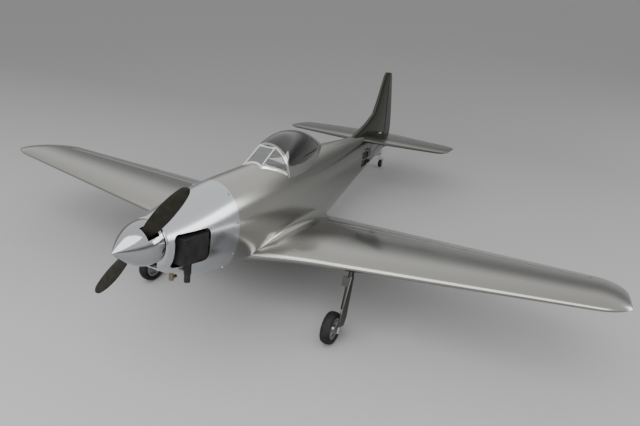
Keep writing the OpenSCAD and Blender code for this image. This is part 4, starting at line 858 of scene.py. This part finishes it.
# tail, gear and fittings keep the CAD shape, with rounded shading
for node in ("tailplane", "elevators", "belly_scoop"):
    smooth_copy(node, "silver_paint", SHEET_CREASE)
# fin and rudder: the same silver painted darker, painted shade
for node in ("tail_fin", "rudder"):
    smooth_copy(node, "silver_paint", SHEET_CREASE, FIN_SHADED_PAINT)
# the gear doors and legs get painted shade: finishes painted darker than their slot
for side in ("left", "right"):
    smooth_copy("gear_door_" + side, "silver_paint", SHEET_CREASE, DOOR_SHADED_PAINT)
    smooth_copy("tyre_" + side, "tyre", TYRE_CREASE)
    smooth_copy("hub_" + side, "alloy", FITTING_CREASE)
    smooth_copy("gear_leg_" + side, "alloy", FITTING_CREASE, LEG_SHADED_METAL)
    smooth_copy("gear_piston_" + side, "steel", FITTING_CREASE)
smooth_copy("tail_wheel", "tyre", TYRE_CREASE)
# the windshield frame is painted lighter as painted highlight
smooth_copy("windshield_frame", "silver_paint", FITTING_CREASE, FRAME_HIGHLIGHT_PAINT)
smooth_copy("windshield_glass", "glazing", PANE_CREASE, CLEAR_PANES)


# canopy: its ends, where its hollow ends and how far that goes below its base, thickness, roundness of the sections
CANOPY_FRONT, CANOPY_END = 524, 930
HOLLOW_END, HOLLOW_DROP, GLASS = 902, 24, 2.0
CANOPY_POWER = 0.93
# its leaning front edge, the gap there and the gap to the fuselage, and how far its frame stands proud of the glass
HOOP_Y, HOOP_Z, HOOP_LEAN = 538, 181, 0.3
HOOP_GAP, SILL_GAP, FRAME_PROUD = 0.6, 0.5, 0.6
# far enough to reach past the whole canopy
HOOP_DOWN, HOOP_OUT = 200, 120
SHELL_FRONT, SHELL_REAR = 470, 980


def canopy_rings(stations, g, drop, m=40):
    """Sections of the canopy, drawn in by g and reaching below the base by drop."""
    turns = [pi / 2 * k / m for k in range(m + 1)]
    rings = []
    for y in stations:
        w = max(smooth(CANOPY_LINES, 1, y) - g, 1)
        base = smooth(CANOPY_LINES, 2, y) - drop
        top = smooth(CANOPY_LINES, 3, y) - g
        half = [
            (w * sin(t) ** CANOPY_POWER, y, base + (top - base) * max(cos(t), 0) ** CANOPY_POWER) for t in turns
        ]
        rings.append(half + [(-x, yy, z) for x, yy, z in reversed(half[1:])])
    return rings


def body_shell(name, inset):
    """The fuselage around the cockpit, drawn in by inset."""
    return loft_mesh(name, body_rings(steps(SHELL_FRONT, SHELL_REAR, 50), inset))


def ahead_of_hoop(name, back):
    """Everything ahead of the canopy's leaning front edge, moved aft by back."""
    c = 1 / sqrt(1 + HOOP_LEAN**2)
    up, fore = (-HOOP_LEAN * c, c), (-c, -HOOP_LEAN * c)
    outline = []
    for v, w in ((-HOOP_DOWN, -back), (HOOP_OUT, -back), (HOOP_OUT, HOOP_OUT), (-HOOP_DOWN, HOOP_OUT)):
        outline.append((HOOP_Y + v * up[0] + w * fore[0], HOOP_Z + v * up[1] + w * fore[1]))
    return prism_mesh(name, outline, -HOOP_OUT, HOOP_OUT)


def canopy_shell(name, proud):
    """The whole bubble with its hollow, standing proud of the canopy's lines."""
    outer = canopy_rings(steps(CANOPY_FRONT, CANOPY_END, 70), -proud, 0)
    inner = canopy_rings(steps(CANOPY_FRONT - 2, HOLLOW_END, 60), GLASS, HOLLOW_DROP)
    shell = new_object(name, loft_mesh(name, outer))
    cut(
        shell,
        loft_mesh("inner", inner),
        body_shell("near", -SILL_GAP),
        ahead_of_hoop("ahead", HOOP_GAP),
    )
    return shell


# widths of the canopy frame along the fuselage and at the front, and the gap to the glass
BAND, BOW, BAND_GAP = 19, 8.6, 0.3
glass = canopy_shell("canopy_glass_skin", 0.0)
cut(glass, body_shell("band", -BAND - BAND_GAP), ahead_of_hoop("bow", BOW + BAND_GAP))
finish_piece(glass, "canopy", "canopy_glass", "glazing", CANOPY_CREASE)
rim = canopy_shell("canopy_frame_skin", FRAME_PROUD)
rim_low = boolean(rim, body_shell("band", -BAND), "INTERSECT")
rim_bow = boolean(rim, ahead_of_hoop("bow", BOW), "INTERSECT")
rim.data = joined("canopy_frame_skin", [rim_low, rim_bow])
finish_piece(rim, "canopy", "canopy_frame", "silver_paint", CANOPY_CREASE)


# propeller and spinner
PROP_Y, PROP_ANGLE, BLADE_TIP = -21, radians(40), 216
PROP_HUB, PROP_HUB_R = (-13, 14), 20
# share of the chord ahead of the blade's axis, fullness of its nose, height of its camber as a share of the chord
BLADE_AXIS, BLADE_NOSE, BLADE_CAMBER = 0.42, 0.75, 0.04
# share of the radius, chord, thickness, pitch in degrees
BLADE_LINES = [
    (0.07, 24, 15, 48),
    (0.2, 30, 10, 36),
    (0.35, 37, 7.5, 25),
    (0.55, 40, 6, 18),
    (0.75, 36, 5, 14),
    (0.9, 27, 3.6, 12),
    (0.97, 18, 2.6, 11),
    (1, 7, 1.6, 11),
]


def prop_point(x, y, z):
    """From the propeller's own axes, z along a blade, to the angle it has stopped at."""
    c, s = cos(PROP_ANGLE), sin(PROP_ANGLE)
    return (x * c + z * s, y + PROP_Y, -x * s + z * c)


def blade_rings(turn, m=14):
    rings = []
    for q in steps(BLADE_LINES[0][0], BLADE_LINES[-2][0], 40) + [0.98, 0.988, 0.995, 1.0]:
        chord, thick, pitch = (smooth(BLADE_LINES, c, q) for c in (1, 2, 3))
        pitch = radians(pitch)
        ring = []
        for k, side in [(k, -1) for k in range(m + 1)] + [(k, 1) for k in range(m - 1, 0, -1)]:
            f = (1 - cos(pi * k / m)) / 2
            u = -chord * (f - BLADE_AXIS)
            half = thick / 2 * sqrt(max(sin(pi * f**BLADE_NOSE), 0))
            v = side * half + BLADE_CAMBER * chord * sin(pi * f)
            x, y = u * cos(pitch) + v * sin(pitch), u * sin(pitch) - v * cos(pitch)
            ring.append(prop_point(turn * x, y, turn * q * BLADE_TIP))
        rings.append(ring)
    return rings


hub_ends = [(0, PROP_Y + y, 0) for y in PROP_HUB]
hub = cylinder_mesh("hub", *hub_ends, PROP_HUB_R)
blades = [loft_mesh("blade", blade_rings(turn)) for turn in (1, -1)]
prop_mesh = joined("propeller_skin", [hub] + blades)
piece("propeller_skin", prop_mesh, "propeller", "propeller", "prop_plastic", BLADE_CREASE)

# spinner: fullness of its outline, least radius, wall, how far its hollow is open behind, slot for the blades
SPINNER_POWER, SPINNER_POINT = 0.92, 0.05
SPINNER_WALL, SPINNER_OPEN = 2.0, 2
SLOT_CORNERS, SLOT_HALF = [(-19, -15), (19, -15), (19, 16), (-19, 16)], 90


def spinner_ring(s, inset, n=128):
    """Ring of the spinner at share s of its length from the tip."""
    r = max(SPINNER_R * sin(pi / 2 * s) ** SPINNER_POWER - inset, SPINNER_POINT)
    y = -SPINNER_LENGTH * (1 - s)
    return [(r * sin(2 * pi * i / n), y, r * cos(2 * pi * i / n)) for i in range(n)]


outer = [spinner_ring(k / 90, 0) for k in [0.2, 0.6, *range(1, 91)]]
inner = [spinner_ring(k / 60, SPINNER_WALL) for k in range(8, 61)]
inner.append([(x, SPINNER_OPEN, z) for x, _, z in inner[-1]])
blade_slots = [[prop_point(x, y, z) for x, y in SLOT_CORNERS] for z in (-SLOT_HALF, SLOT_HALF)]
spinner = new_object("spinner_skin", loft_mesh("spinner_skin", outer))
cut(spinner, loft_mesh("inside", inner), loft_mesh("blade_slots", blade_slots))
finish_piece(spinner, "propeller", "spinner_cone", "chrome", SPINNER_CREASE)
smooth_copy("spinner_backplate", "chrome", FITTING_CREASE)


# floor, light, camera
def area_light(name, place, aim, size, watts):
    light = bpy.data.lights.new(name, "AREA")
    light.shape = "RECTANGLE"
    light.size, light.size_y = size
    light.energy = watts
    o = new_object(name, light)
    o.location = place
    o.rotation_euler = (Vector(aim) - Vector(place)).to_track_quat("-Z", "Y").to_euler()


# the floor's near colour is lighter as painted light
FLOOR_SIZE, FLOOR_NEAR_PAINTED_LIGHT, FLOOR_FAR = 40, 0.34, 0.19
bpy.ops.mesh.primitive_plane_add(size=FLOOR_SIZE)
floor = bpy.context.object
floor.name = "floor"
floor.data.materials.append(paper("floor", FLOOR_NEAR_PAINTED_LIGHT, FLOOR_FAR))

# studio: dim towards the horizon, bright overhead, so that the curved skins show a clear gradient
world = bpy.data.worlds.new("studio")
bpy.context.scene.world = world
world.use_nodes = True
sky = world.node_tree
direction = sky.nodes.new("ShaderNodeTexCoord")
height = sky.nodes.new("ShaderNodeSeparateXYZ")
shade = sky.nodes.new("ShaderNodeValToRGB")
# height of a direction, grey
SHADES = ((0.0, 0.20), (0.10, 0.27), (0.32, 1.0))
SKY_STRENGTH = 1.1
shade.color_ramp.elements.new(0.5)
for stop, (level, grey) in zip(shade.color_ramp.elements, SHADES):
    stop.position, stop.color = level, (grey, grey, grey, 1)
sky.links.new(direction.outputs["Generated"], height.inputs["Vector"])
sky.links.new(height.outputs["Z"], shade.inputs["Fac"])
sky.links.new(shade.outputs["Color"], sky.nodes["Background"].inputs["Color"])
sky.nodes["Background"].inputs["Strength"].default_value = SKY_STRENGTH
area_light("key", place=(0.4, -2.7, 2.7), aim=(0.3, -0.9, 0.0), size=(4.2, 4.2), watts=180)
area_light("side", place=(3.0, 1.2, 1.15), aim=(0.1, -0.3, 0.3), size=(3.0, 1.1), watts=50)

# fitted to the photograph: direction from the object to the camera, roll, place and lens
CAMERA_AZ, CAMERA_EL, CAMERA_ROLL = radians(25.7467), radians(28.1145), radians(1.4706)
CAMERA_PLACE = (0.8335, -1.6117, 1.0820)
CAMERA_LENS, CAMERA_SENSOR = 29.24, 36
camera_data = bpy.data.cameras.new("camera")
camera_data.lens, camera_data.sensor_width = CAMERA_LENS, CAMERA_SENSOR
camera = new_object("camera", camera_data)
back = Vector((sin(CAMERA_AZ) * cos(CAMERA_EL), -cos(CAMERA_AZ) * cos(CAMERA_EL), sin(CAMERA_EL)))
level_right = (-back).cross(Vector((0, 0, 1))).normalized()
level_up = level_right.cross(-back)
right = level_right * cos(CAMERA_ROLL) + level_up * sin(CAMERA_ROLL)
up = level_up * cos(CAMERA_ROLL) - level_right * sin(CAMERA_ROLL)
pose = Matrix((right, up, back)).transposed().to_4x4()
pose.translation = CAMERA_PLACE
camera.matrix_world = pose
bpy.context.scene.camera = camera
